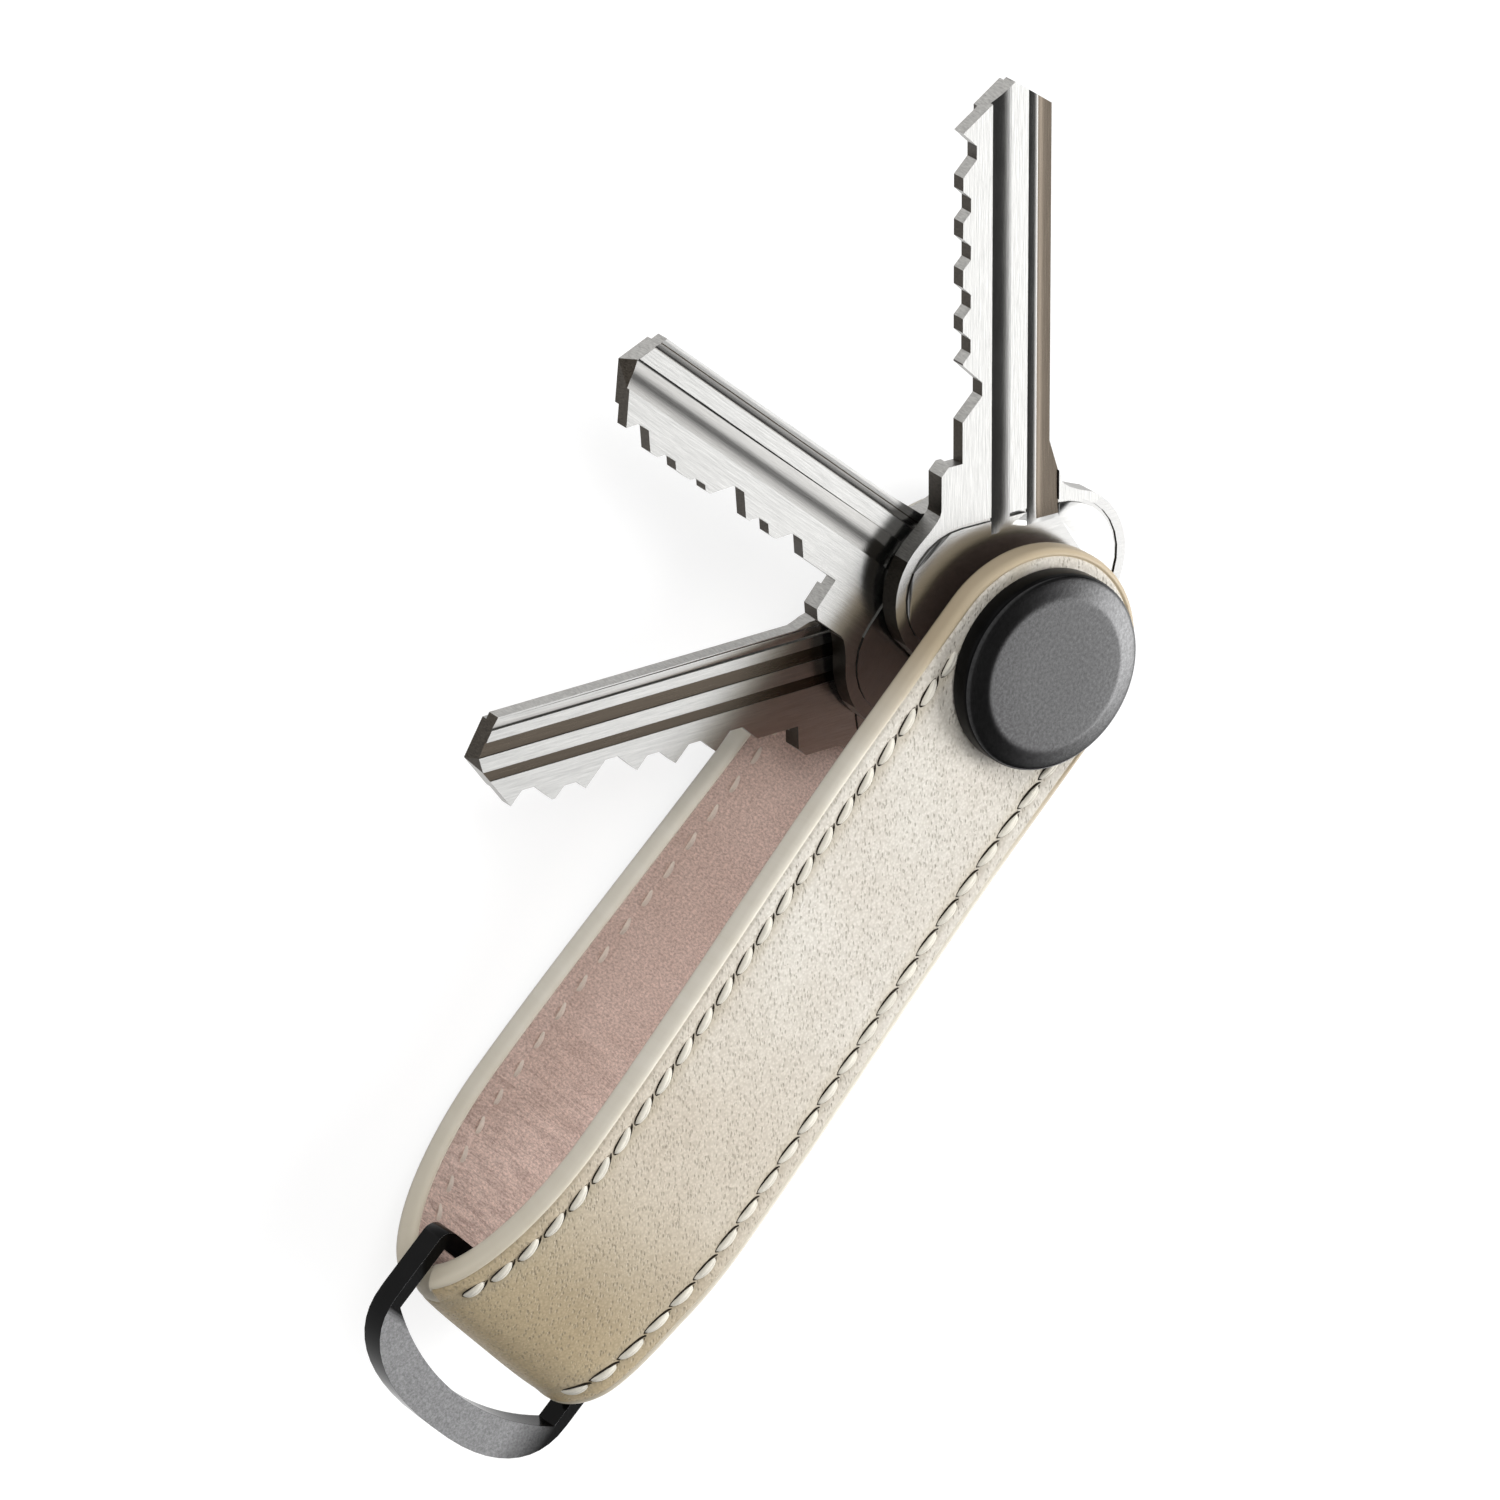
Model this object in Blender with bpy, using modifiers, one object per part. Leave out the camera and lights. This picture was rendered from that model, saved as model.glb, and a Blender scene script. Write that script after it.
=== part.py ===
"""A key organizer: a folded leather strap that holds three keys on a screwed post, with a ring in its bend.

Metres, +Z up. The origin is the centre of the front cap's flat face, on the pivot axis. +X runs along the
strap to its bend, and +Y across the strap. Heights are worked out from the front cap down to the back screw.
"""

import math

import bmesh
import bpy

# Strap, a band folded over into two legs
STRAP_WIDTH = 0.0200
OUTER_LEATHER = 0.0009
STIFFENER = 0.0004
LINING = 0.0008
GLUE_GAP = 0.0001
BEND_APEX_X = 0.0710
BEND_CENTRE_X = 0.0530
RISE_START_X = 0.0120
BULGE = 0.0015
WAIST_WIDTH = 0.0159
NOTCH_INNER_HALF = 0.0014
NOTCH_OUTER_HALF = 0.0020
NOTCH_BACK_X = 0.0660
NOTCH_FRONT_X = 0.0730
EDGE_ROUND = 0.0003
RISE_STEPS = 8
BEND_STEPS = 12
END_STEPS = 28

# Clearances between pieces
AXIAL_GAP = 0.0001
RADIAL_GAP = 0.00015
OVERRUN = 0.0010

# Front cap
CAP_RADIUS = 0.00853
CAP_FLAT_RADIUS = 0.00664
CAP_HEIGHT = 0.00253
CAP_RIM_HEIGHT = 0.0020
CAP_UNDERCUT = 0.0003
SOCKET_DEPTH = 0.0013

# Post barrel and back screw
BARREL_RADIUS = 0.0025
BORE_RADIUS = 0.0017
BARREL_SHORT_OF_HEAD = 0.0006
SCREW_RADIUS = 0.0015
SCREW_ENGAGEMENT = 0.0085
SCREW_CHAMFER = 0.0003
HEAD_RADIUS = 0.0085
HEAD_FLAT_RADIUS = 0.0068
HEAD_HEIGHT = 0.0022
HEAD_RIM_HEIGHT = 0.0016
COIN_SLOT_LENGTH = 0.0110
COIN_SLOT_WIDTH = 0.0018
COIN_SLOT_DEPTH = 0.0011

# Stack between the legs, from the front down
SPACER_RADIUS = 0.0060
FRONT_SPACER = 0.0009
FRICTION_WASHER = 0.0003
FRICTION_WASHER_RADIUS = 0.0052
KEY_WASHER = 0.0005
KEY_WASHER_RADIUS = 0.0055
WAVE_WASHER_RADIUS = 0.0052
WAVE_WASHER_SHEET = 0.00025
WAVE_WASHER_HEIGHT = 0.0005
WAVE_COUNT = 3
BACK_SPACER = 0.0008
BUSH_WALL = 0.0007

# Keys, measured from the pivot: along towards the tip, across towards the cut edge
KEY_THICKNESS = 0.0019
KEY_HOLE_RADIUS = 0.00275
LOBE_ALONG = 0.0064
LOBE_ACROSS = 0.0048
LOBE_RADIUS = 0.0066
END_LOBE_RADIUS = 0.0060
LINE_INSET = 0.0008
LINE_WIDTH = 0.00035
LINE_DEPTH = 0.00015
STOP_ALONG = 0.0176
STOP_ACROSS = 0.0069
STOP_CHAMFER = 0.0007
NECK_ALONG = 0.0132
BACK_FLARE_ALONG = 0.0163
BACK_FLARE = 0.0008
BACK_NECK_ACROSS = 0.0050
TIP_BEVEL_FRONT = 0.0034
TIP_BELOW_MIDDLE = 0.0007
CUT_ROOT = 0.0012
GROOVE_DEPTH = 0.00055
GROOVE_WHEEL_RADIUS = 0.0060
NECK_ANGLE = math.radians(38)
BACK_NECK_ANGLE = math.radians(30)
LOBE_STEPS = 10
HOLE_STEPS = 32

# Ring, measured from the hinge axis in its straight bar
RING_THICKNESS = 0.0024
RING_BAR_WIDTH = 0.0016
RING_BAR_GAP = 0.00135
RING_ARM_WIDTH = 0.00105
RING_SIDE_GAP = 0.0005
RING_OUTER_REACH = 0.0128
RING_INNER_REACH = 0.00945
RING_STRAIGHT = 0.00585
RING_CORNER = 0.0012
RING_INNER_CORNER_ALONG = 0.0067
RING_ABOVE_MIDDLE = 0.00095
RING_ROUND = 0.0003
RING_ARC_SHARE = 2.4
RING_STEPS = 24
RING_LIE_ANGLE = math.radians(-1.8)

ROUND_STEPS = 48
SMALL_ROUND_STEPS = 32
MERGE = 0.00001
CREASE_ANGLE = math.radians(35)

# Each key: its blade's middle across the pivot line and its height, the tip's place and how far its
# back edge slopes to it, the rest angle, its cuts as (place along the blade, depth), and the grooves in its
# front and back face as shares of the blade height from its middle. The last back groove of each key is open
# to the cut edge, so that the blade is thinner there.
KEYS = {
    "key_front": {
        "middle": 0.0005,
        "height": 0.0087,
        "tip": 0.0496,
        "back_slope": 0.0026,
        "angle": math.radians(-135.5),
        "cuts": (
            (0.0237, 0.0019),
            (0.0277, 0.00075),
            (0.0316, 0.00075),
            (0.0358, 0.00075),
            (0.0399, 0.00075),
            (0.0443, 0.0013),
        ),
        "front_groove_shares": ((-0.60, -0.23), (-0.06, 0.15)),
        "back_groove_shares": ((-0.20, -0.05), (0.24, 0.60)),
    },
    "key_middle": {
        "middle": -0.0007,
        "height": 0.0082,
        "tip": 0.0475,
        "back_slope": 0.0016,
        "angle": math.radians(-86.5),
        "cuts": (
            (0.0235, 0.00115),
            (0.0274, 0.00065),
            (0.0313, 0.00165),
            (0.0351, 0.00035),
            (0.0390, 0.00055),
            (0.0430, 0.00135),
        ),
        "front_groove_shares": ((-0.34, -0.22), (-0.10, 0.20)),
        "back_groove_shares": ((-0.60, -0.42), (0.28, 0.60)),
    },
    "key_back": {
        "middle": -0.0002,
        "height": 0.0086,
        "tip": 0.0484,
        "back_slope": 0.0022,
        "angle": math.radians(-44.3),
        "cuts": (
            (0.0236, 0.0014),
            (0.0276, 0.0013),
            (0.0316, 0.0014),
            (0.0356, 0.0021),
            (0.0396, 0.0009),
            (0.0436, 0.0016),
        ),
        "front_groove_shares": ((-0.38, -0.28), (-0.18, -0.04), (0.08, 0.19)),
        "back_groove_shares": ((-0.60, -0.44), (0.26, 0.60)),
    },
}

# Places that follow from the sizes
LEG_THICKNESS = OUTER_LEATHER + STIFFENER + LINING + 2 * GLUE_GAP
HALF_WIDTH = STRAP_WIDTH / 2
BUSH_INNER_RADIUS = BARREL_RADIUS + RADIAL_GAP
BUSH_OUTER_RADIUS = BUSH_INNER_RADIUS + BUSH_WALL
STACK = (
    ("front_spacer", FRONT_SPACER),
    ("front_friction_washer", FRICTION_WASHER),
    ("key_front", KEY_THICKNESS),
    ("front_key_washer", KEY_WASHER),
    ("key_middle", KEY_THICKNESS),
    ("back_key_washer", KEY_WASHER),
    ("key_back", KEY_THICKNESS),
    ("back_friction_washer", FRICTION_WASHER),
    ("wave_washer", WAVE_WASHER_HEIGHT),
    ("back_spacer", BACK_SPACER),
)
LOOP_GAP = sum(height for _, height in STACK) + (len(STACK) + 1) * AXIAL_GAP
FRONT_LEG_TOP = -CAP_HEIGHT - AXIAL_GAP
STRAP_MIDDLE = FRONT_LEG_TOP - LEG_THICKNESS - LOOP_GAP / 2
BACK_LEG_BOTTOM = FRONT_LEG_TOP - 2 * LEG_THICKNESS - LOOP_GAP
HEAD_TOP = BACK_LEG_BOTTOM - AXIAL_GAP
RING_HINGE_X = BEND_APEX_X - LEG_THICKNESS - RING_BAR_GAP - RING_BAR_WIDTH / 2


def stack_places():
    """Bottom and top height of each piece between the legs."""
    places = {}
    top = FRONT_LEG_TOP - LEG_THICKNESS - AXIAL_GAP
    for name, height in STACK:
        places[name] = (top - height, top)
        top -= height + AXIAL_GAP
    return places


def clear_scene():
    for obj in list(bpy.data.objects):
        bpy.data.objects.remove(obj, do_unlink=True)


def new_collection(name, hidden=False):
    collection = bpy.data.collections.new(name)
    bpy.context.scene.collection.children.link(collection)
    collection.hide_render = hidden
    return collection


def new_material(name, colour, metallic, roughness):
    material = bpy.data.materials.new(name)
    material.use_nodes = True
    shader = material.node_tree.nodes["Principled BSDF"]
    shader.inputs["Base Color"].default_value = (*colour, 1)
    shader.inputs["Metallic"].default_value = metallic
    shader.inputs["Roughness"].default_value = roughness
    material.diffuse_color = (*colour, 1)
    return material


def add_object(name, mesh, material=None):
    obj = bpy.data.objects.new(name, mesh)
    if material is None:
        CUTTERS.objects.link(obj)
        obj.hide_render = True
        obj.display_type = "WIRE"
    else:
        PARTS.objects.link(obj)
        mesh.materials.append(material)
    return obj


def prism(name, loops, bottom, top, material=None):
    """A flat outline, with a hole for each further loop, made solid from bottom to top."""
    curve = bpy.data.curves.new(name, "CURVE")
    curve.dimensions = "2D"
    curve.fill_mode = "BOTH"
    curve.extrude = (top - bottom) / 2
    for points in loops:
        spline = curve.splines.new("POLY")
        spline.points.add(len(points) - 1)
        for point, (x, y) in zip(spline.points, points):
            point.co = (x, y, 0, 1)
        spline.use_cyclic_u = True
    guide = bpy.data.objects.new(name + "_guide", curve)
    CUTTERS.objects.link(guide)
    guide.location.z = (top + bottom) / 2
    bpy.context.view_layer.update()
    evaluated = guide.evaluated_get(bpy.context.evaluated_depsgraph_get())
    mesh = bpy.data.meshes.new_from_object(evaluated)
    weld(mesh)
    obj = add_object(name, mesh, material)
    obj.matrix_world = guide.matrix_world.copy()
    bpy.data.objects.remove(guide, do_unlink=True)
    bpy.data.curves.remove(curve)
    return obj


def weld(mesh):
    shape = bmesh.new()
    shape.from_mesh(mesh)
    bmesh.ops.remove_doubles(shape, verts=shape.verts, dist=MERGE)
    bmesh.ops.recalc_face_normals(shape, faces=shape.faces)
    shape.to_mesh(mesh)
    shape.free()


def turned(name, profile, material=None, steps=ROUND_STEPS, ring=False):
    """A profile of (radius, height) points turned about Z. A ring's profile closes on itself."""
    mesh = bpy.data.meshes.new(name)
    edges = [(i, i + 1) for i in range(len(profile) - 1)]
    if ring:
        edges.append((len(profile) - 1, 0))
    mesh.from_pydata([(radius, 0, height) for radius, height in profile], edges, [])
    obj = add_object(name, mesh, material)
    screw = obj.modifiers.new("Turn", "SCREW")
    screw.steps = steps
    screw.render_steps = steps
    screw.use_merge_vertices = True
    screw.merge_threshold = MERGE
    return obj


def washer(name, inner, outer, bottom, top, material, steps=SMALL_ROUND_STEPS):
    profile = [(outer, top), (outer, bottom), (inner, bottom), (inner, top)]
    return turned(name, profile, material, steps, ring=True)


def cut(obj, cutter, operation="DIFFERENCE"):
    boolean = obj.modifiers.new(cutter.name, "BOOLEAN")
    boolean.operation = operation
    boolean.object = cutter


def round_edges(obj, width, segments=2):
    bevel = obj.modifiers.new("Round", "BEVEL")
    bevel.width = width
    bevel.segments = segments
    bevel.limit_method = "ANGLE"
    bevel.angle_limit = CREASE_ANGLE


def smooth(obj):
    obj.data.shade_smooth()
    obj.data.set_sharp_from_angle(angle=CREASE_ANGLE)


def arc(centre, radius, start, end, steps):
    x, y = centre
    angles = [start + (end - start) * i / steps for i in range(steps + 1)]
    return [(x + radius * math.cos(angle), y + radius * math.sin(angle)) for angle in angles]


def blend(start, corner, end, steps=4):
    """Points between start and end on a curve that a corner pulls."""
    points = []
    for i in range(1, steps):
        share = i / steps
        weights = ((1 - share) ** 2, 2 * share * (1 - share), share**2)
        points.append(
            tuple(sum(w * p[axis] for w, p in zip(weights, (start, corner, end))) for axis in (0, 1))
        )
    return points


def cylinder_cutter(name, radius, bottom, top, steps=HOLE_STEPS):
    return prism(name, [arc((0, 0), radius, 0, 2 * math.pi, steps)[:-1]], bottom, top)


def strap_path():
    """The strap's outer face in the XZ plane, from the front leg round the bend to the back leg's end."""
    half = LEG_THICKNESS + LOOP_GAP / 2
    bend_length = BEND_APEX_X - BEND_CENTRE_X
    front = [(-HALF_WIDTH - OVERRUN, half)]
    for i in range(RISE_STEPS + 1):
        share = i / RISE_STEPS
        rise = BULGE * share**2 * (3 - 2 * share)
        front.append((RISE_START_X + (BEND_CENTRE_X - RISE_START_X) * share, half + rise))
    for i in range(1, BEND_STEPS):
        angle = math.pi / 2 * i / BEND_STEPS
        x = BEND_CENTRE_X + bend_length * math.sin(angle)
        front.append((x, (half + BULGE) * math.cos(angle)))
    back = [(x, -z) for x, z in reversed(front)]
    return front + [(BEND_APEX_X, 0)] + back


def inset_path(path, depth):
    """The path moved towards the inside of the loop by depth, along its own normals."""
    moved = []
    for i, (x, z) in enumerate(path):
        before = path[max(i - 1, 0)]
        after = path[min(i + 1, len(path) - 1)]
        run = after[0] - before[0]
        fall = after[1] - before[1]
        length = math.hypot(run, fall)
        moved.append((x + depth * fall / length, z - depth * run / length))
    return moved


def make_strap_layers():
    """Outer leather, stiffener and lining: one band each, trimmed to the round ends and notched waist."""
    path = strap_path()
    reach = BEND_APEX_X + OVERRUN
    outline = arc((0, 0), HALF_WIDTH, math.pi / 2, 3 * math.pi / 2, END_STEPS)
    outline += [(reach, -HALF_WIDTH), (reach, HALF_WIDTH)]
    height = LEG_THICKNESS + LOOP_GAP / 2 + BULGE + OVERRUN
    trim = prism("strap_outline", [outline], STRAP_MIDDLE - height, STRAP_MIDDLE + height)
    hole = cylinder_cutter(
        "bush_hole", BUSH_OUTER_RADIUS + RADIAL_GAP, STRAP_MIDDLE - height, STRAP_MIDDLE + height
    )
    notches = []
    for side, label in ((-1, "near"), (1, "far")):
        wedge = [
            (NOTCH_BACK_X, -NOTCH_INNER_HALF),
            (NOTCH_FRONT_X, -NOTCH_OUTER_HALF),
            (NOTCH_FRONT_X, NOTCH_OUTER_HALF),
            (NOTCH_BACK_X, NOTCH_INNER_HALF),
        ]
        depth = HALF_WIDTH - WAIST_WIDTH / 2 + OVERRUN
        notch = prism(f"{label}_notch", [wedge], -depth / 2, depth / 2)
        notch.rotation_euler.x = math.pi / 2
        notch.location = (0, side * (WAIST_WIDTH / 2 + depth / 2), STRAP_MIDDLE)
        notches.append(notch)
    layers = (
        ("strap_outer_leather", 0, OUTER_LEATHER, LEATHER),
        ("strap_stiffener", OUTER_LEATHER + GLUE_GAP, OUTER_LEATHER + GLUE_GAP + STIFFENER, DARK_PLASTIC),
        ("strap_lining", LEG_THICKNESS - LINING, LEG_THICKNESS, LINING_LEATHER),
    )
    for name, outside, inside, material in layers:
        section = inset_path(path, outside) + inset_path(path, inside)[::-1]
        band = prism(name, [section], -HALF_WIDTH - OVERRUN, HALF_WIDTH + OVERRUN, material)
        band.rotation_euler.x = math.pi / 2
        band.location = (0, 0, STRAP_MIDDLE)
        cut(band, trim, "INTERSECT")
        for notch in notches:
            cut(band, notch)
        if name == "strap_outer_leather":
            round_edges(band, EDGE_ROUND)
        cut(band, hole)
        smooth(band)


def make_bushes():
    """A sleeve in the hole of each leg keeps the leather off the post."""
    tops = {"front_bush": FRONT_LEG_TOP, "back_bush": BACK_LEG_BOTTOM + LEG_THICKNESS}
    for name, top in tops.items():
        smooth(washer(name, BUSH_INNER_RADIUS, BUSH_OUTER_RADIUS, top - LEG_THICKNESS, top, STEEL))


def make_cap():
    """The front cap: a flat face, a broad bevel, a straight rim and a socket for the barrel."""
    bottom = FRONT_LEG_TOP + AXIAL_GAP
    socket = BARREL_RADIUS + RADIAL_GAP
    profile = [
        (0, 0),
        (CAP_FLAT_RADIUS, 0),
        (CAP_RADIUS, bottom + CAP_RIM_HEIGHT),
        (CAP_RADIUS, bottom + CAP_UNDERCUT),
        (CAP_RADIUS - CAP_UNDERCUT, bottom),
        (socket, bottom),
        (socket, bottom + SOCKET_DEPTH),
        (0, bottom + SOCKET_DEPTH),
    ]
    smooth(turned("front_cap", profile, DARK_METAL))


def make_barrel():
    """The post barrel runs from the cap's socket through both legs and stops short of the screw head."""
    top = FRONT_LEG_TOP + SOCKET_DEPTH
    bottom = BACK_LEG_BOTTOM + BARREL_SHORT_OF_HEAD
    smooth(washer("post_barrel", BORE_RADIUS, BARREL_RADIUS, bottom, top, STEEL))


def make_back_screw():
    """A round head with a coin slot, on a shank that screws up into the barrel."""
    bottom = HEAD_TOP - HEAD_HEIGHT
    shank_top = BACK_LEG_BOTTOM + SCREW_ENGAGEMENT
    profile = [
        (0, shank_top),
        (SCREW_RADIUS - SCREW_CHAMFER, shank_top),
        (SCREW_RADIUS, shank_top - SCREW_CHAMFER),
        (SCREW_RADIUS, HEAD_TOP),
        (HEAD_RADIUS, HEAD_TOP),
        (HEAD_RADIUS, HEAD_TOP - HEAD_RIM_HEIGHT),
        (HEAD_FLAT_RADIUS, bottom),
        (0, bottom),
    ]
    screw = turned("back_screw", profile, DARK_METAL)
    half = COIN_SLOT_WIDTH / 2
    reach = COIN_SLOT_LENGTH / 2 - half
    slot_outline = arc((reach, 0), half, -math.pi / 2, math.pi / 2, LOBE_STEPS)
    slot_outline += arc((-reach, 0), half, math.pi / 2, 3 * math.pi / 2, LOBE_STEPS)
    slot = prism("coin_slot", [slot_outline], bottom - OVERRUN, bottom + COIN_SLOT_DEPTH)
    cut(screw, slot)
    smooth(screw)


def make_wave_washer(bottom, top):
    """A thin ring pressed into waves, which keeps the stack under spring pressure."""
    middle = (bottom + top) / 2
    swing = (WAVE_WASHER_HEIGHT - WAVE_WASHER_SHEET) / 2
    inner = BARREL_RADIUS + RADIAL_GAP
    mesh = bpy.data.meshes.new("wave_washer")
    shape = bmesh.new()
    rings = []
    for i in range(ROUND_STEPS):
        angle = 2 * math.pi * i / ROUND_STEPS
        height = middle + swing * math.cos(WAVE_COUNT * angle)
        rings.append(
            [
                shape.verts.new((radius * math.cos(angle), radius * math.sin(angle), height))
                for radius in (inner, WAVE_WASHER_RADIUS)
            ]
        )
    for i, (near, far) in enumerate(rings):
        next_near, next_far = rings[(i + 1) % len(rings)]
        shape.faces.new((near, far, next_far, next_near))
    shape.to_mesh(mesh)
    shape.free()
    obj = add_object("wave_washer", mesh, STEEL)
    sheet = obj.modifiers.new("Sheet", "SOLIDIFY")
    sheet.thickness = WAVE_WASHER_SHEET
    sheet.offset = 0
    smooth(obj)


def make_stack():
    """Spacers and washers on the barrel, with the keys' places left free."""
    inner = BARREL_RADIUS + RADIAL_GAP
    rings = {
        "front_spacer": (SPACER_RADIUS, DARK_PLASTIC),
        "front_friction_washer": (FRICTION_WASHER_RADIUS, NYLON),
        "front_key_washer": (KEY_WASHER_RADIUS, NYLON),
        "back_key_washer": (KEY_WASHER_RADIUS, NYLON),
        "back_friction_washer": (FRICTION_WASHER_RADIUS, NYLON),
        "back_spacer": (SPACER_RADIUS, DARK_PLASTIC),
    }
    for name, (bottom, top) in stack_places().items():
        if name in rings:
            outer, material = rings[name]
            smooth(washer(name, inner, outer, bottom, top, material))
        elif name == "wave_washer":
            make_wave_washer(bottom, top)


def bow_outline(inset):
    """Two side lobes and an end lobe round the hole, joined by common tangents, all drawn in by inset."""
    side = LOBE_RADIUS - inset
    end = END_LOBE_RADIUS - inset
    tangent = math.atan2(LOBE_ACROSS, LOBE_ALONG) + math.acos(
        (side - end) / math.hypot(LOBE_ALONG, LOBE_ACROSS)
    )
    outline = arc((LOBE_ALONG, LOBE_ACROSS), side, 0, tangent, LOBE_STEPS)
    outline += arc((0, 0), end, tangent, 2 * math.pi - tangent, LOBE_STEPS)
    outline += arc((LOBE_ALONG, -LOBE_ACROSS), side, -tangent, 0, LOBE_STEPS)
    return outline


def cut_edge(blade_top, cuts):
    """The key's cut edge from the stop outwards: flat roots between flanks at 45 degrees."""
    half = CUT_ROOT / 2
    points = []
    for i, (place, depth) in enumerate(cuts):
        if i == 0:
            points.append((place - half - depth, blade_top))
        points += [(place - half, blade_top - depth), (place + half, blade_top - depth)]
        if i + 1 == len(cuts):
            points.append((place + half + depth, blade_top))
            continue
        next_place, next_depth = cuts[i + 1]
        peak = (place + next_place + depth - next_depth) / 2
        height = blade_top - depth + peak - place - half
        if height < blade_top:
            points.append((peak, height))
        else:
            points += [(place + half + depth, blade_top), (next_place - half - next_depth, blade_top)]
    return points


def key_outline(middle, height, tip, back_slope, cuts):
    """The blank with its bow, neck, stop and cut blade, anticlockwise from the blade's back edge."""
    blade_top = middle + height / 2
    blade_back = middle - height / 2
    tip_across = middle - TIP_BELOW_MIDDLE
    edge = cut_edge(blade_top, cuts)[::-1]
    slant = TIP_BEVEL_FRONT / (blade_top - tip_across)
    root_along, root_across = edge[1]
    reach = (tip - slant * (root_across - tip_across) - root_along) / (1 + slant)
    corner = [(tip - TIP_BEVEL_FRONT, blade_top)]
    if reach < blade_top - root_across:
        corner = [(root_along + reach, root_across + reach)]
        edge = edge[1:]
    tip_end = [(tip - back_slope, blade_back), (tip, tip_across)] + corner
    stop = [
        (STOP_ALONG, blade_top),
        (STOP_ALONG, STOP_ACROSS - STOP_CHAMFER),
        (STOP_ALONG - STOP_CHAMFER, STOP_ACROSS),
    ]
    tangent = math.atan2(LOBE_ACROSS, LOBE_ALONG) + math.acos(
        (LOBE_RADIUS - END_LOBE_RADIUS) / math.hypot(LOBE_ALONG, LOBE_ACROSS)
    )
    lobe = arc((LOBE_ALONG, LOBE_ACROSS), LOBE_RADIUS, NECK_ANGLE, tangent, LOBE_STEPS)
    neck = blend((NECK_ALONG + STOP_CHAMFER, STOP_ACROSS), (NECK_ALONG, STOP_ACROSS), lobe[0])
    bow_end = arc((0, 0), END_LOBE_RADIUS, tangent, 2 * math.pi - tangent, LOBE_STEPS)
    back_lobe = arc((LOBE_ALONG, -LOBE_ACROSS), LOBE_RADIUS, -tangent, -BACK_NECK_ANGLE, LOBE_STEPS)
    back_neck_corner = (NECK_ALONG, -BACK_NECK_ACROSS)
    back_neck_end = (NECK_ALONG + STOP_CHAMFER, -BACK_NECK_ACROSS)
    back_neck = blend(back_lobe[-1], back_neck_corner, back_neck_end) + [back_neck_end]
    flare = [(BACK_FLARE_ALONG, blade_back - BACK_FLARE / 2), (STOP_ALONG, blade_back)]
    if blade_back - BACK_FLARE / 2 < -BACK_NECK_ACROSS:
        flare = [(STOP_ALONG, blade_back)]
    outline = tip_end + edge + stop + [(NECK_ALONG + STOP_CHAMFER, STOP_ACROSS)] + neck + lobe
    return outline + bow_end + back_lobe + back_neck + flare


def groove_cutter(name, low, high, face, outwards, tip, floor_end):
    """A milled groove from past the tip to floor_end, where it rises in the run-out of the milling wheel."""
    floor = face - outwards * GROOVE_DEPTH
    lift = math.acos(1 - (GROOVE_DEPTH + OVERRUN) / GROOVE_WHEEL_RADIUS)
    wheel = []
    for i in range(LOBE_STEPS + 1):
        angle = lift * i / LOBE_STEPS
        rise = GROOVE_WHEEL_RADIUS * (1 - math.cos(angle))
        wheel.append((floor_end - GROOVE_WHEEL_RADIUS * math.sin(angle), floor + outwards * rise))
    section = [(tip + OVERRUN, floor + outwards * (GROOVE_DEPTH + OVERRUN)), (tip + OVERRUN, floor)] + wheel
    cutter = prism(name, [section], -(high - low) / 2, (high - low) / 2)
    cutter.rotation_euler.x = math.pi / 2
    cutter.location.y = (high + low) / 2
    return cutter


def make_key(name, middle, height, tip, back_slope, angle, cuts, front_groove_shares, back_groove_shares):
    """One key about its pivot: cut blank, hole, milled grooves and an engraved line round each bow face."""
    bottom, top = stack_places()[name]
    half = (top - bottom) / 2
    pivot = bpy.data.objects.new(name + "_pivot", None)
    PARTS.objects.link(pivot)
    pivot.location.z = (bottom + top) / 2
    pivot.rotation_euler.z = angle
    key = prism(name, [key_outline(middle, height, tip, back_slope, cuts)], -half, half, KEY_METAL)
    cutters = [cylinder_cutter(name + "_hole", KEY_HOLE_RADIUS, -half - OVERRUN, half + OVERRUN)]
    sides = (
        (1, front_groove_shares, "front", NECK_ALONG),
        (-1, back_groove_shares, "back", STOP_ALONG),
    )
    for outwards, shares, side, floor_end in sides:
        for i, (low, high) in enumerate(shares):
            low_edge = middle + low * height
            high_edge = middle + high * height
            label = f"{name}_{side}_groove_{i}"
            cutters.append(
                groove_cutter(label, low_edge, high_edge, outwards * half, outwards, tip, floor_end)
            )
        line = [bow_outline(LINE_INSET), bow_outline(LINE_INSET + LINE_WIDTH)]
        faces = sorted((outwards * (half - LINE_DEPTH), outwards * (half + OVERRUN)))
        cutters.append(prism(f"{name}_{side}_line", line, *faces))
    for cutter in cutters:
        cutter.parent = pivot
        cut(key, cutter)
    key.parent = pivot
    smooth(key)


def ring_outline(half_width):
    """A D: straight bar side, rounded corners, straight arms, then a flattened arc out to its reach."""
    arc_length = RING_OUTER_REACH - RING_STRAIGHT
    corner_x = -RING_BAR_WIDTH / 2 + RING_CORNER
    corner_y = half_width - RING_CORNER
    points = arc((corner_x, -corner_y), RING_CORNER, math.pi, 3 * math.pi / 2, LOBE_STEPS)
    for i in range(RING_STEPS + 1):
        angle = -math.pi / 2 + math.pi * i / RING_STEPS
        across = math.copysign(abs(math.sin(angle)) ** (2 / RING_ARC_SHARE), math.sin(angle))
        out = abs(math.cos(angle)) ** (2 / RING_ARC_SHARE)
        points.append((RING_STRAIGHT + arc_length * out, half_width * across))
    return points + arc((corner_x, corner_y), RING_CORNER, math.pi / 2, math.pi, LOBE_STEPS)


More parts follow.
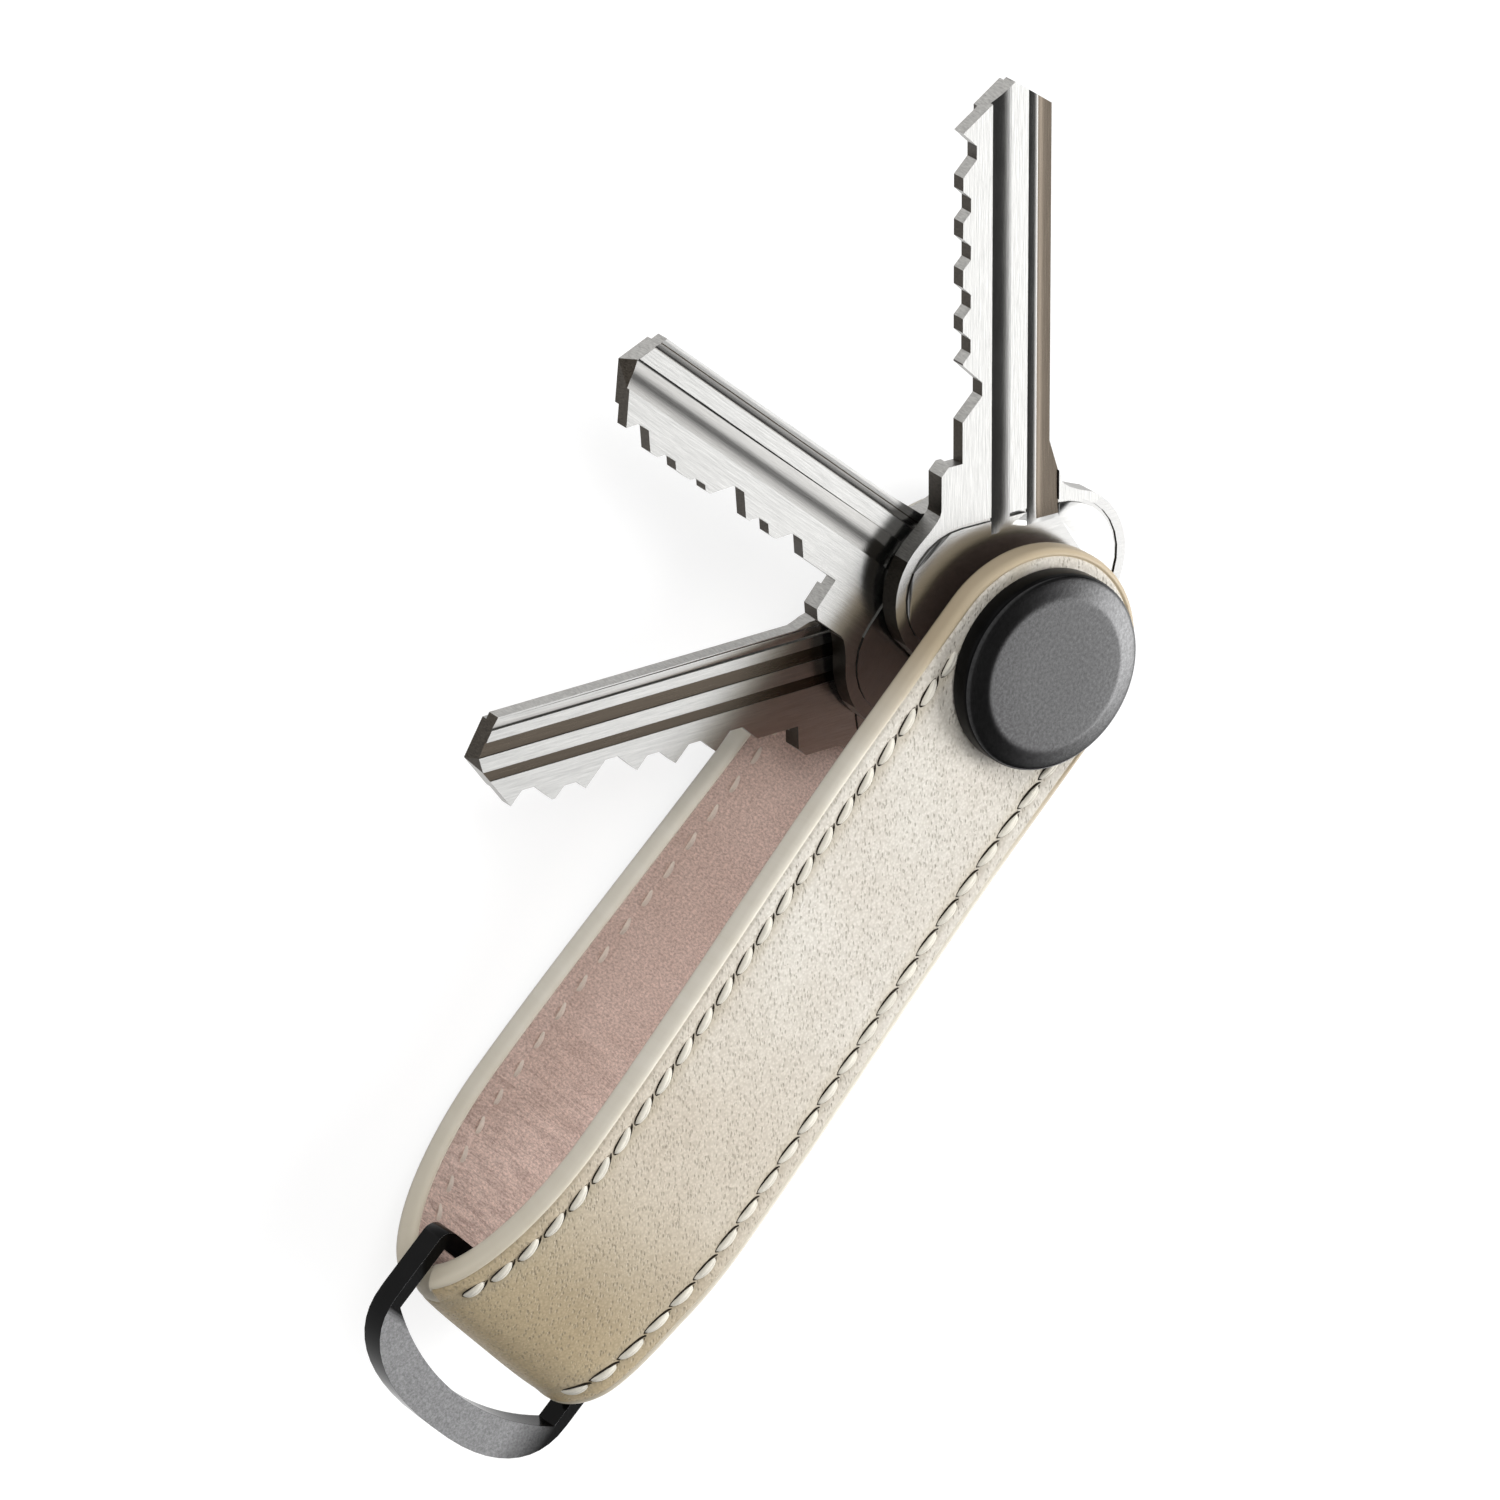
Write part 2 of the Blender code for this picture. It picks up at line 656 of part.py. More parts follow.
def ring_opening(half_width):
    """The D's opening: square to the bar and arms, closed by one shallow arc."""
    sag = RING_INNER_REACH - RING_INNER_CORNER_ALONG
    radius = (half_width**2 + sag**2) / (2 * sag)
    swing = math.asin(half_width / radius)
    back = RING_BAR_WIDTH / 2
    return [(back, -half_width)] + arc(
        (RING_INNER_REACH - radius, 0), radius, -swing, swing, RING_STEPS
    ) + [(back, half_width)]


def make_ring():
    """The D-ring, its bar inside the bend and its arms outside the strap's edges, lying a little askew."""
    inner = HALF_WIDTH + RING_SIDE_GAP
    outer = inner + RING_ARM_WIDTH
    loops = [ring_outline(outer), ring_opening(inner)]
    ring = prism("d_ring", loops, -RING_THICKNESS / 2, RING_THICKNESS / 2, BLACK_METAL)
    ring.location = (RING_HINGE_X, 0, STRAP_MIDDLE + RING_ABOVE_MIDDLE)
    ring.rotation_euler.z = RING_LIE_ANGLE
    round_edges(ring, RING_ROUND)
    smooth(ring)


clear_scene()
PARTS = new_collection("key_organizer")
CUTTERS = new_collection("cutters", hidden=True)
LEATHER = new_material("beige_leather", (0.72, 0.66, 0.54), 0, 0.55)
LINING_LEATHER = new_material("pink_brown_lining", (0.60, 0.42, 0.37), 0, 0.65)
DARK_PLASTIC = new_material("dark_plastic", (0.05, 0.05, 0.05), 0, 0.6)
NYLON = new_material("white_nylon", (0.85, 0.85, 0.82), 0, 0.5)
DARK_METAL = new_material("dark_matte_metal", (0.08, 0.08, 0.09), 0.6, 0.45)
BLACK_METAL = new_material("black_glossy_metal", (0.02, 0.02, 0.02), 0.8, 0.2)
STEEL = new_material("steel", (0.6, 0.6, 0.62), 1, 0.3)
KEY_METAL = new_material("nickel_silver", (0.72, 0.70, 0.66), 1, 0.22)

make_strap_layers()
make_bushes()
make_cap()
make_barrel()
make_back_screw()
make_stack()
for key_name, key_sizes in KEYS.items():
    make_key(key_name, **key_sizes)
make_ring()
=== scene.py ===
import math

import bmesh
import bpy
import numpy as np
from mathutils import Matrix, Vector, noise


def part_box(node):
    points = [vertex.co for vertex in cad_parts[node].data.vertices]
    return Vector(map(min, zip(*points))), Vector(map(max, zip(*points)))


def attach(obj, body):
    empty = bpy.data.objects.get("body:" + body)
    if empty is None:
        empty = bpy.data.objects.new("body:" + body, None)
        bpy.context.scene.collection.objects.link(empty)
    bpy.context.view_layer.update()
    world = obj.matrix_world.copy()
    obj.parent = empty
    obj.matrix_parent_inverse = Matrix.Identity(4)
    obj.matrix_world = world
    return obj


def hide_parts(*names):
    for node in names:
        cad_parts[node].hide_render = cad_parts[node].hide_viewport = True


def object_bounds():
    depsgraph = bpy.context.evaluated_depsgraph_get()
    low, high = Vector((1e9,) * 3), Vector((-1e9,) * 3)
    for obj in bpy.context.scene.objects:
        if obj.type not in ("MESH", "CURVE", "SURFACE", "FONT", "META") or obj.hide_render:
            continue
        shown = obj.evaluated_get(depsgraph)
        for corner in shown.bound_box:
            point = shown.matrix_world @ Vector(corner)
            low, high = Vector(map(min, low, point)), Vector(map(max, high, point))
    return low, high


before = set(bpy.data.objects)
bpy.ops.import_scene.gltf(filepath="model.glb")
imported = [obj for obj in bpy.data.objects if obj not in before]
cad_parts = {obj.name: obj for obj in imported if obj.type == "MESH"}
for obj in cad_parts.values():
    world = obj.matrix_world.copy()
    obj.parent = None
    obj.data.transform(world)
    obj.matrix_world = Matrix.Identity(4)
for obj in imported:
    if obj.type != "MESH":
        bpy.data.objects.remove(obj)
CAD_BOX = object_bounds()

MM = 0.001
TO_MM = 1000
STRAP_BODY = "strap_and_post"
STRAP_UV = "strap"

# Camera of the photograph, in the part's frame
CAMERA_PLACE = (0.066459, -0.556058, 0.633569)
CAMERA_RIGHT = (-0.581813, 0.600413, 0.548633)
CAMERA_UP = (-0.811417, -0.474646, -0.341048)
CAMERA_BACK = (0.055637, -0.643596, 0.763341)
CAMERA_FIELD = math.radians(8.28028)
CAMERA_FILM = 36
CAMERA_REACH = 10

# World: a bright window, seen in the metal, that fades to dark round it. Each stop is
# (cosine of the angle to the window's direction, level)
WINDOW_DIRECTION = (-0.35, 0.80, 0.48)
WORLD_STOPS = (
    (0.0, 0.065), (0.36, 0.06), (0.50, 0.006), (0.76, 0.008), (0.82, 0.05),
    (0.87, 0.16), (0.90, 0.235), (0.93, 0.38), (0.98, 0.85), (1.0, 1.0),
)
WORLD_STRENGTH = 4.8

# Square lamps: place, target, side and watts
LAMPS = {
    "key_softbox": ((-0.45, 0.55, 0.72), (0.03, 0, 0), 0.5, 5.0),
    "fill_softbox": ((-0.35, -0.60, 0.60), (0.03, 0, 0), 0.5, 4.2),
    "bend_softbox": ((0.75, -0.25, 0.35), (0.05, 0, 0), 0.4, 1.0),
}

# Floor, which glows to the camera and in reflections, so that the background is white and keeps the shadow
FLOOR_REACH = 0.9
FLOOR_GAP = 0.05 * MM
FLOOR_GREY = 0.32
FLOOR_GLOW = 0.80

# Strap: path of its outer face, and the steps along and across it
HALF_WIDTH = 10.0 * MM
RISE_START_X = 12.0 * MM
BEND_CENTRE_X = 53.0 * MM
BULGE = 1.5 * MM
STATION_STEP = 0.3 * MM
LANE_STEP = 0.25 * MM
RISE_STEPS = 160
BEND_STEPS = 240
END_TURNS = 40
TANGENT_STEP = 0.15 * MM
BACK_LANES = (8.5, 7.0, 5.0, 3.0, 0)

# The bend as it really lies, with its far side further out and higher than its near side
SKEW = 0.0525
SKEW_START_X = 60.0 * MM
SKEW_LIFT = 1.0 * MM
SKEW_LIFT_FROM_Y = -2 * MM
SKEW_LIFT_FULL_HEIGHT = 5 * MM

# Waist, where the ring's arms pass. The pairs are lengths from the notch's end: where its corner is
# rounded, and where the stations lie close together
WAIST_HALF = 7.95 * MM
NOTCH_HALF_LENGTH = 2.1 * MM
NOTCH_FAR_SHIFT = 1.9 * MM
NOTCH_CORNER = (-0.25 * MM, 0.55 * MM)
NOTCH_FINE = (-0.6 * MM, 0.8 * MM)
NOTCH_STEP = 0.06 * MM
LEAST_STEP = 0.03 * MM
LANES_DRAWN_IN = (4.5 * MM, 8.2 * MM)

# Hole for the post and its bush
HOLE_RADIUS = 3.52 * MM
HOLE_TURN = math.radians(1)
HOLE_SIDES = 64
DRILL_LENGTH = 40 * MM

# Relief of the outer face. The fades are lengths from the pivot line, and VALLEY_ENDS are lengths
# before the apex
PAD_HEIGHT = 0.16 * MM
MARGIN_HEIGHT = 0.05 * MM
MARGIN_Y = 8.9 * MM
MARGIN_HALF = 1.1 * MM
VALLEY_DEPTH = 0.20 * MM
VALLEY_SPREAD = 0.42 * MM
PAD_FADES_IN = (8.0 * MM, 14.0 * MM)
VALLEY_FADES_IN = (3.0 * MM, 7.0 * MM)
VALLEY_ENDS = (4.6 * MM, 2.6 * MM)

# Leather shell's edge in mm, as (distance in from the edge, depth): a groove, a bead and the rounded edge
EDGE_PROFILE = (
    (0.92, 0.0), (0.84, 0.015), (0.77, 0.06), (0.71, 0.13), (0.66, 0.16), (0.60, 0.13), (0.54, 0.07),
    (0.46, 0.045), (0.37, 0.06), (0.27, 0.11), (0.18, 0.19), (0.10, 0.31), (0.04, 0.46), (0.01, 0.64),
    (0.0, 0.85), (0.0, 1.15), (0.0, 1.4), (0.01, 1.65), (0.04, 1.85), (0.10, 2.03), (0.20, 2.17),
    (0.33, 2.25), (0.46, 2.26), (0.50, 2.18), (0.50, 2.0),
)
PAINT_STARTS_AT = 4
SHELL_BACK_DEPTH = 2.0 * MM

# Lining: its edge in mm, as (distance in from its rim, depth), and its relief. The creases' fractal noise
# has a dimension, a lacunarity and a number of octaves
LINING_INSET = 0.52 * MM
LINING_FACE_DEPTH = 2.28 * MM
LINING_BACK_DEPTH = 2.04 * MM
LINING_EDGE = ((0.1, 2.28), (0.03, 2.25), (0, 2.2), (0, 2.04))
LINING_LANES_END = 0.2 * MM
LINING_VALLEY_DEPTH = 0.10 * MM
LINING_VALLEY_SPREAD = 0.35 * MM
CREASE_HEIGHT = 0.09 * MM
CREASE_SPACING = (1.5 * MM, 8 * MM)
CREASE_SLICE = 3.7
CREASE_FRACTAL = (1.0, 2.0, 3)
CREASE_LEAST = 0.25
CREASE_GROWS = (38 * MM, 62 * MM)
LINING_FADES_IN = (9 * MM, 12 * MM)

# Stitches. The plies' spread and rise, and the thread's rise and end, are shares of the thread's radius.
# Twist and lean are in radians
ROW_Y = 7.71 * MM
ROW_STARTS = {-1: 3.1 * MM, 1: 4.6 * MM}
STITCH_COUNT = 23
STITCH_PITCH = 2.94 * MM
STITCH_LENGTH = 2.7 * MM
STITCH_WIDTH = 0.50 * MM
STITCH_DEPTH = 0.06 * MM
STITCH_STEPS = 13
THREAD_SIDES = 8
STITCH_SWELL = 0.5
STITCH_SLANT = 0.20 * MM
STITCH_END_SINK = 0.42 * MM
PLY_SPREAD = 0.72
PLY_GAP = 0.02 * MM
PLY_TWIST = (0.25, 0.9)
PLY_LEAN = 0.4
PLY_RISE = 0.35
THREAD_RISE = 0.22
THREAD_END = 0.40
LINING_ROW_FROM = 10 * MM
LINING_STITCH_SHIFT = 0.35 * MM
LINING_STITCH_LENGTH = 2.1 * MM
LINING_STITCH_WIDTH = 0.30 * MM
LINING_STITCH_DEPTH = 2.22 * MM

# Dark tubes beside each stitch, painted shadow in its needle slits: side of the thread, radius, and the
# share of half a pitch by which it starts early
SLITS = ((1, 0.145 * MM, 0.16), (-1, 0.10 * MM, 0.0))
SLIT_SIDES = 6
SLIT_SWELL = 0.6
SLIT_SPREAD = 1.52
SLIT_GAP = 0.02 * MM
SLIT_SINK = 0.10 * MM
SLIT_RISE = 0.06 * MM
SLIT_END = 0.45

# Front cap's outline in mm, as (radius, height), and the socket for the post in its back
CAP_OUTLINE = (
    (0, 0), (3.0, 0), (6.3, 0), (6.45, -0.004), (6.6, -0.018), (6.75, -0.046), (6.9, -0.084), (7.2, -0.165),
    (7.7, -0.305), (8.1, -0.42), (8.3, -0.50), (8.42, -0.60), (8.50, -0.76), (8.53, -1.0), (8.53, -1.6),
    (8.53, -2.2), (8.50, -2.36), (8.42, -2.47), (8.28, -2.53),
)
CAP_SOCKET_RADIUS = 2.65 * MM
CAP_SOCKET_DEPTH = 1.3 * MM
CAP_SIDES = 128
CAP_SHARP = 40
CAP_RIM_BELOW_NORMAL = 0.6

# Keys. Their angles are in degrees from the strap's direction, and lengths along them from the pivot
KEY_ANGLES = {"key_front": -135.5, "key_middle": -86.5, "key_back": -44.3}
BOW_END_ALONG = 11.5 * MM
GROOVES_START_ALONG = 10.2 * MM
GROOVE_DEPTH = 0.55 * MM
GROOVE_DEPTH_SPARE = 0.1 * MM
GROOVE_LEAST_DEPTH = 0.03 * MM
GROOVE_SLACK = 0.01 * MM
BOTTOM_NORMAL = 0.95
MILLED_NORMAL = 0.3
CUT_SNAP = 0.001 * MM
SPAN_DIGITS = 6
TIP_DIGITS = 7
TIP_REACH = 5.0 * MM
WALL_NORMAL = 0.5
SHADE_SIDE = Vector((0.70, -0.71, 0))
SHADE_SHARE = 0.85
KEY_SHARP = 16

# Milled section of each front groove, from the back edge of the blade on: how far the groove is moved
# across the blade, the share of its width that is painted brown as a painted reflection, and its depths in mm
# from the cut side to the back side
RISING = (0.36, 0.30, 0.245, 0.195, 0.15, 0.108, 0.073, 0.045, 0.025, 0.012, 0.005)
STEPPED = (0.30, 0.21, 0.14, 0.10, 0.16, 0.17, 0.17, 0.17, 0.17, 0.17, 0.17)
WIDE = (0.32, 0.312, 0.298, 0.274, 0.236, 0.182, 0.152, 0.144, 0.138, 0.134, 0.13)
SHALLOW = (0.16, 0.13, 0.10, 0.08, 0.065, 0.05, 0.04, 0.03, 0.02, 0.01, 0.005)
ROUND = (0.06, 0.075, 0.088, 0.10, 0.11, 0.12, 0.13, 0.14, 0.15, 0.16, 0.17)
GROOVES = {
    "key_front": ((0.0, 0.66, STEPPED), (0.2 * MM, 0.0, RISING)),
    "key_middle": ((-1.1 * MM, 0.45, SHALLOW), (-0.70 * MM, 0.0, WIDE)),
    "key_back": ((-0.85 * MM, 0.0, SHALLOW), (-0.80 * MM, 1.0, ROUND), (-0.50 * MM, 1.0, ROUND)),
}

# Finishes of a key: name, colour, roughness, stretch of the brush lines, their strength, and the share of the
# colour that is left in the darkest line. The two cut-wall ones are one metal in painted shade and painted
# light
BLADE_BRUSH = (0.05, 1.1, 1.0)
KEY_FINISHES = (
    ("brushed_face", (0.69, 0.687, 0.672), 0.22, BLADE_BRUSH, 0.5, 0.76),
    ("bow_face", (0.61, 0.607, 0.597), 0.20, (1.0, 0.08, 1.0), 0.3, 0.86),
    ("dark_cut_wall", (0.085, 0.073, 0.06), 0.42, (1.5, 1.5, 0.4), 1.0, 0.25),
    ("light_cut_wall", (0.52, 0.51, 0.49), 0.38, (1.5, 1.5, 0.25), 1.0, 0.45),
    ("milled_groove", (0.66, 0.65, 0.63), 0.19, BLADE_BRUSH, 0.35, 0.84),
    ("brown_groove", (0.145, 0.12, 0.095), 0.26, BLADE_BRUSH, 0.5, 0.80),
)
FACE, BOW, SHADED_WALL, LIT_WALL, GROOVE, BROWN_REFLECTION = range(len(KEY_FINISHES))

# Ring, in mm: where the grey painted reflection on the D's arc begins, and where it ends before the far arm
RING_GREY_FROM_X = (73.3, 74.1)
RING_GREY_TO_Y = (6.5, 10.5)
RING_SHARP = 50
FLAT_NORMAL = 0.985
EDGE_NORMAL = 0.5

# Back screw
SCREW_ROUNDING = 0.12 * MM
SCREW_SHARP = 40

# Mending of the copied CAD meshes. Angles are in degrees
CAD_WELD = 0.004 * MM
FLAT_ANGLE = 1
GROOVE_WELD = 0.003 * MM
SLIVER = 0.002 * MM
ROUNDED_ANGLE = 28
ROUNDING_SEGMENTS = 3


# Small helpers

def smoothstep(value, low, high):
    share = np.clip((value - low) / (high - low), 0, 1)
    return share * share * (3 - 2 * share)


def placed(name, data):
    """A new object in the scene."""
    obj = bpy.data.objects.new(name, data)
    bpy.context.scene.collection.objects.link(obj)
    return obj


def new_object(name, vertices, faces, materials):
    """A smooth piece on the strap's body."""
    mesh = bpy.data.meshes.new(name)
    mesh.from_pydata([tuple(v) for v in vertices], [], faces)
    shape = bmesh.new()
    shape.from_mesh(mesh)
    bmesh.ops.recalc_face_normals(shape, faces=shape.faces)
    shape.to_mesh(mesh)
    shape.free()
    mesh.shade_smooth()
    for item in materials:
        mesh.materials.append(item)
    obj = placed(name, mesh)
    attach(obj, STRAP_BODY)
    return obj


def apply_modifiers(obj):
    graph = bpy.context.evaluated_depsgraph_get()
    mesh = bpy.data.meshes.new_from_object(obj.evaluated_get(graph))
    obj.modifiers.clear()
    obj.data = mesh


# Path of the strap

low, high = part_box("strap_outer_leather")
APEX_X = high.x
MIDDLE_Z = (low.z + high.z) / 2
LEG_HALF = (high.z - low.z) / 2 - BULGE


def outer_path():
    """Points (x, height over the middle) of the outer face, from the pivot line to the apex of the bend."""
    points = [(x, LEG_HALF) for x in np.arange(0, RISE_START_X, STATION_STEP)]
    for share in np.linspace(0, 1, RISE_STEPS):
        x = RISE_START_X + (BEND_CENTRE_X - RISE_START_X) * share
        points.append((x, LEG_HALF + BULGE * share**2 * (3 - 2 * share)))
    for angle in np.linspace(0, math.pi / 2, BEND_STEPS)[1:]:
        x = BEND_CENTRE_X + (APEX_X - BEND_CENTRE_X) * math.sin(angle)
        points.append((x, (LEG_HALF + BULGE) * math.cos(angle)))
    return np.array(points)


PATH = outer_path()
PATH_LENGTHS = np.concatenate([[0], np.cumsum(np.hypot(*np.diff(PATH, axis=0).T))])
HALF_LENGTH = PATH_LENGTHS[-1]


def from_pivot(length):
    """Distance along the strap from the nearer pivot line."""
    return np.minimum(length, 2 * HALF_LENGTH - length)


def at(length):
    """Place (x, height) and outward normal of the outer face at a length from the front pivot line.
    Lengths past the apex run back along the back leg."""
    length = np.asarray(length, float)
    back = length > HALF_LENGTH
    near = np.where(back, 2 * HALF_LENGTH - length, length)

    def place(value):
        value = np.clip(value, 0, HALF_LENGTH)
        return np.stack([np.interp(value, PATH_LENGTHS, PATH[:, i]) for i in (0, 1)], -1)

    points = place(near)
    tangent = place(near + TANGENT_STEP) - place(near - TANGENT_STEP)
    tangent[near > HALF_LENGTH - TANGENT_STEP] = [0, -1]
    tangent /= np.linalg.norm(tangent, axis=-1, keepdims=True)
    points[..., 1] = np.where(back, -points[..., 1], points[..., 1])
    tangent[..., 0] = np.where(back, -tangent[..., 0], tangent[..., 0])
    outward = np.stack([-tangent[..., 1], tangent[..., 0]], -1)
    return points, outward


# Materials

class Nodes:
    """Short calls for building the node tree of a material or world."""

    def __init__(self, owner, shader="Principled BSDF"):
        self.tree = owner.node_tree
        self.shader = self.tree.nodes[shader]

    def add(self, kind, **settings):
        node = self.tree.nodes.new(kind)
        for key, value in settings.items():
            setattr(node, key, value)
        return node

    def link(self, source, target):
        self.tree.links.new(source, target)

    def feed(self, socket, source):
        self.link(source, self.shader.inputs[socket])

    def mapped(self, vector, scale=(1, 1, 1), turn=0.0):
        """The vector scaled, and then turned about Z."""
        mapping = self.add("ShaderNodeMapping")
        mapping.inputs["Scale"].default_value = scale
        mapping.inputs["Rotation"].default_value = (0, 0, turn)
        self.link(vector, mapping.inputs["Vector"])
        return mapping.outputs[0]

    def in_mm(self, stretch=(1, 1, 1), turn=0.0):
        """The object's own coordinates in mm, turned about Z and then stretched."""
        place = self.add("ShaderNodeTexCoord").outputs["Object"]
        if turn:
            place = self.mapped(place, turn=turn)
        return self.mapped(place, [TO_MM * value for value in stretch])

    def on_strap(self, stretch=(1, 1, 1)):
        """Place on the strap in mm: x along it from the front pivot line, y across it."""
        return self.mapped(self.add("ShaderNodeUVMap", uv_map=STRAP_UV).outputs[0], stretch)

    def split(self, vector):
        node = self.add("ShaderNodeSeparateXYZ")
        self.link(vector, node.inputs[0])
        return node.outputs

    def noise(self, vector, scale, detail, rough=0.6, distortion=0.0):
        node = self.add("ShaderNodeTexNoise")
        node.inputs["Scale"].default_value = scale
        node.inputs["Detail"].default_value = detail
        node.inputs["Roughness"].default_value = rough
        node.inputs["Distortion"].default_value = distortion
        self.link(vector, node.inputs["Vector"])
        return node.outputs["Fac"]

    def voronoi(self, vector, scale, feature="F1"):
        node = self.add("ShaderNodeTexVoronoi", feature=feature)
        node.inputs["Scale"].default_value = scale
        self.link(vector, node.inputs["Vector"])
        return node.outputs["Distance"]

    def ramp(self, value, stops):
        """A colour from stops of (place, colour or grey level)."""
        node = self.add("ShaderNodeValToRGB")
        elements = node.color_ramp.elements
        while len(elements) < len(stops):
            elements.new(0.5)
        for element, (place, colour) in zip(elements, stops):
            element.position = place
            element.color = (*colour, 1) if isinstance(colour, tuple) else (colour, colour, colour, 1)
        self.link(value, node.inputs[0])
        return node.outputs[0]

    def range(self, value, low, high, from_low=0.0, from_high=1.0):
        node = self.add("ShaderNodeMapRange")
        node.inputs["From Min"].default_value = from_low
        node.inputs["From Max"].default_value = from_high
        node.inputs["To Min"].default_value = low
        node.inputs["To Max"].default_value = high
        self.link(value, node.inputs[0])
        return node.outputs[0]

    def math(self, operation, a, b=0):
        node = self.add("ShaderNodeMath", operation=operation)
        for socket, value in zip(node.inputs, (a, b)):
            if isinstance(value, (int, float)):
                socket.default_value = value
            else:
                self.link(value, socket)
        return node.outputs[0]

    def distance(self, value, centre):
        return self.math("ABSOLUTE", self.math("SUBTRACT", value, centre))

    def mix(self, share, a, b, blend="MIX"):
        node = self.add("ShaderNodeMix", data_type="RGBA", blend_type=blend)
        for socket, value in ((node.inputs[0], share), (node.inputs[6], a), (node.inputs[7], b)):
            if isinstance(value, (int, float)):
                socket.default_value = value
            elif isinstance(value, tuple):
                socket.default_value = (*value, 1)
            else:
                self.link(value, socket)
        return node.outputs[2]

    def bump(self, *heights):
        """Chained bumps of (height output, distance in mm, strength). A negative strength presses in."""
        normal = None
        for height, distance, strength in heights:
            node = self.add("ShaderNodeBump")
            node.invert = strength < 0
            node.inputs["Distance"].default_value = distance * MM
            node.inputs["Strength"].default_value = abs(strength)
            self.link(height, node.inputs["Height"])
            if normal is not None:
                self.link(normal, node.inputs["Normal"])
            normal = node.outputs["Normal"]
        self.feed("Normal", normal)


def material(name, colour, metallic, roughness, specular=0.5):
    mat = bpy.data.materials.new(name)
    mat.use_nodes = True
    shader = mat.node_tree.nodes["Principled BSDF"]
    shader.inputs["Base Color"].default_value = (*colour, 1)
    shader.inputs["Metallic"].default_value = metallic
    shader.inputs["Roughness"].default_value = roughness
    shader.inputs["Specular IOR Level"].default_value = specular
    mat.diffuse_color = (*colour, 1)
    return mat


def leather_material():
    """Pebbled grain, partly painted shade in the pebbles' valleys, with drawn-out dashes and pores, painted
    shade in the valleys along the stitches, and painted shade with a warmer tone near the bend.
    """
    mat = material("strap_leather_grain", (0.70, 0.665, 0.60), 0, 0.5, specular=0.4)
    n = Nodes(mat)
    flat = n.on_strap()
    along, across, _ = n.split(flat)
    pebbles = n.voronoi(flat, 4.3, "SMOOTH_F1")
    fine = n.noise(flat, 6.5, detail=3)
    broad = n.noise(flat, 0.10, detail=3, rough=0.5)
    creased = n.noise(n.on_strap((0.55, 1.0, 1)), 0.9, detail=4, distortion=0.4)
    drawn = n.mapped(n.mapped(flat, turn=-0.77), (0.55, 1.0, 1.0))
    dashes = n.ramp(n.voronoi(drawn, 3.3), [(0.0, 1.0), (0.20, 0.75), (0.40, 0.0)])
    pores = n.ramp(n.voronoi(flat, 1.5), [(0.0, 1.0), (0.09, 0.6), (0.15, 0.0)])

    colour = n.ramp(broad, [(0.35, (0.69, 0.645, 0.575)), (0.65, (0.73, 0.695, 0.63))])
    # Darker and warmer towards the bend: painted shade of the bend turning away from the light, and a warmer
    # tone
    off_bend = n.range(n.distance(along, HALF_LENGTH / MM), 0, 1, 0, 50)
    bend_shade_and_warmth = n.ramp(off_bend, [
        (0.04, (0.90, 0.76, 0.52)), (0.22, (0.74, 0.645, 0.49)), (0.45, (0.86, 0.81, 0.74)), (0.9, 1.0),
    ])
    colour = n.mix(1.0, colour, bend_shade_and_warmth, "MULTIPLY")
    # Pebbles' colour: the grain's own tone, with painted shade in their valleys and painted light on their
    # crests
    grain = n.ramp(pebbles, [(0.10, 1.07), (0.62, (0.88, 0.87, 0.85))])
    colour = n.mix(1.0, colour, grain, "MULTIPLY")
    colour = n.mix(n.math("MULTIPLY", dashes, 0.36), colour, (0.30, 0.26, 0.20))
    colour = n.mix(n.math("MULTIPLY", pores, 0.40), colour, (0.20, 0.16, 0.11))
    # Painted shade: darker brown in the valleys along the stitch rows
    off_row = n.distance(n.math("ABSOLUTE", across), 7.35)
    n.feed("Base Color", n.mix(n.range(off_row, 0.42, 0.0, 0.15, 1.1), colour, (0.48, 0.415, 0.30)))
    n.feed("Roughness", n.range(pebbles, 0.40, 0.58))
    n.bump(
        (broad, 0.4, 0.15), (creased, 0.10, 0.25), (pebbles, 0.07, -0.40), (fine, 0.02, 0.4),
        (dashes, 0.10, -0.7), (pores, 0.06, -0.6),
    )
    return mat


def edge_paint_material():
    """Pale edge paint, rubbed to tan round the front end and darker near the bend."""
    mat = material("strap_edge_paint", (0.66, 0.61, 0.51), 0, 0.40)
    n = Nodes(mat)
    flat = n.on_strap()
    along, _, _ = n.split(flat)
    broad = n.noise(flat, 0.5, detail=4)
    tone = n.ramp(broad, [(0.3, (0.80, 0.745, 0.63)), (0.7, (0.86, 0.81, 0.705))])
    tone = n.mix(n.range(along, 0.85, 0.0, 4.0, 16.0), tone, (0.52, 0.41, 0.26))
    off_bend = n.distance(along, HALF_LENGTH / MM)
    n.feed("Base Color", n.mix(n.range(off_bend, 0.75, 0.0, 4.0, 30.0), tone, (0.64, 0.565, 0.43)))
    n.feed("Roughness", n.range(broad, 0.32, 0.46))
    n.bump((broad, 0.12, 0.4))
    return mat


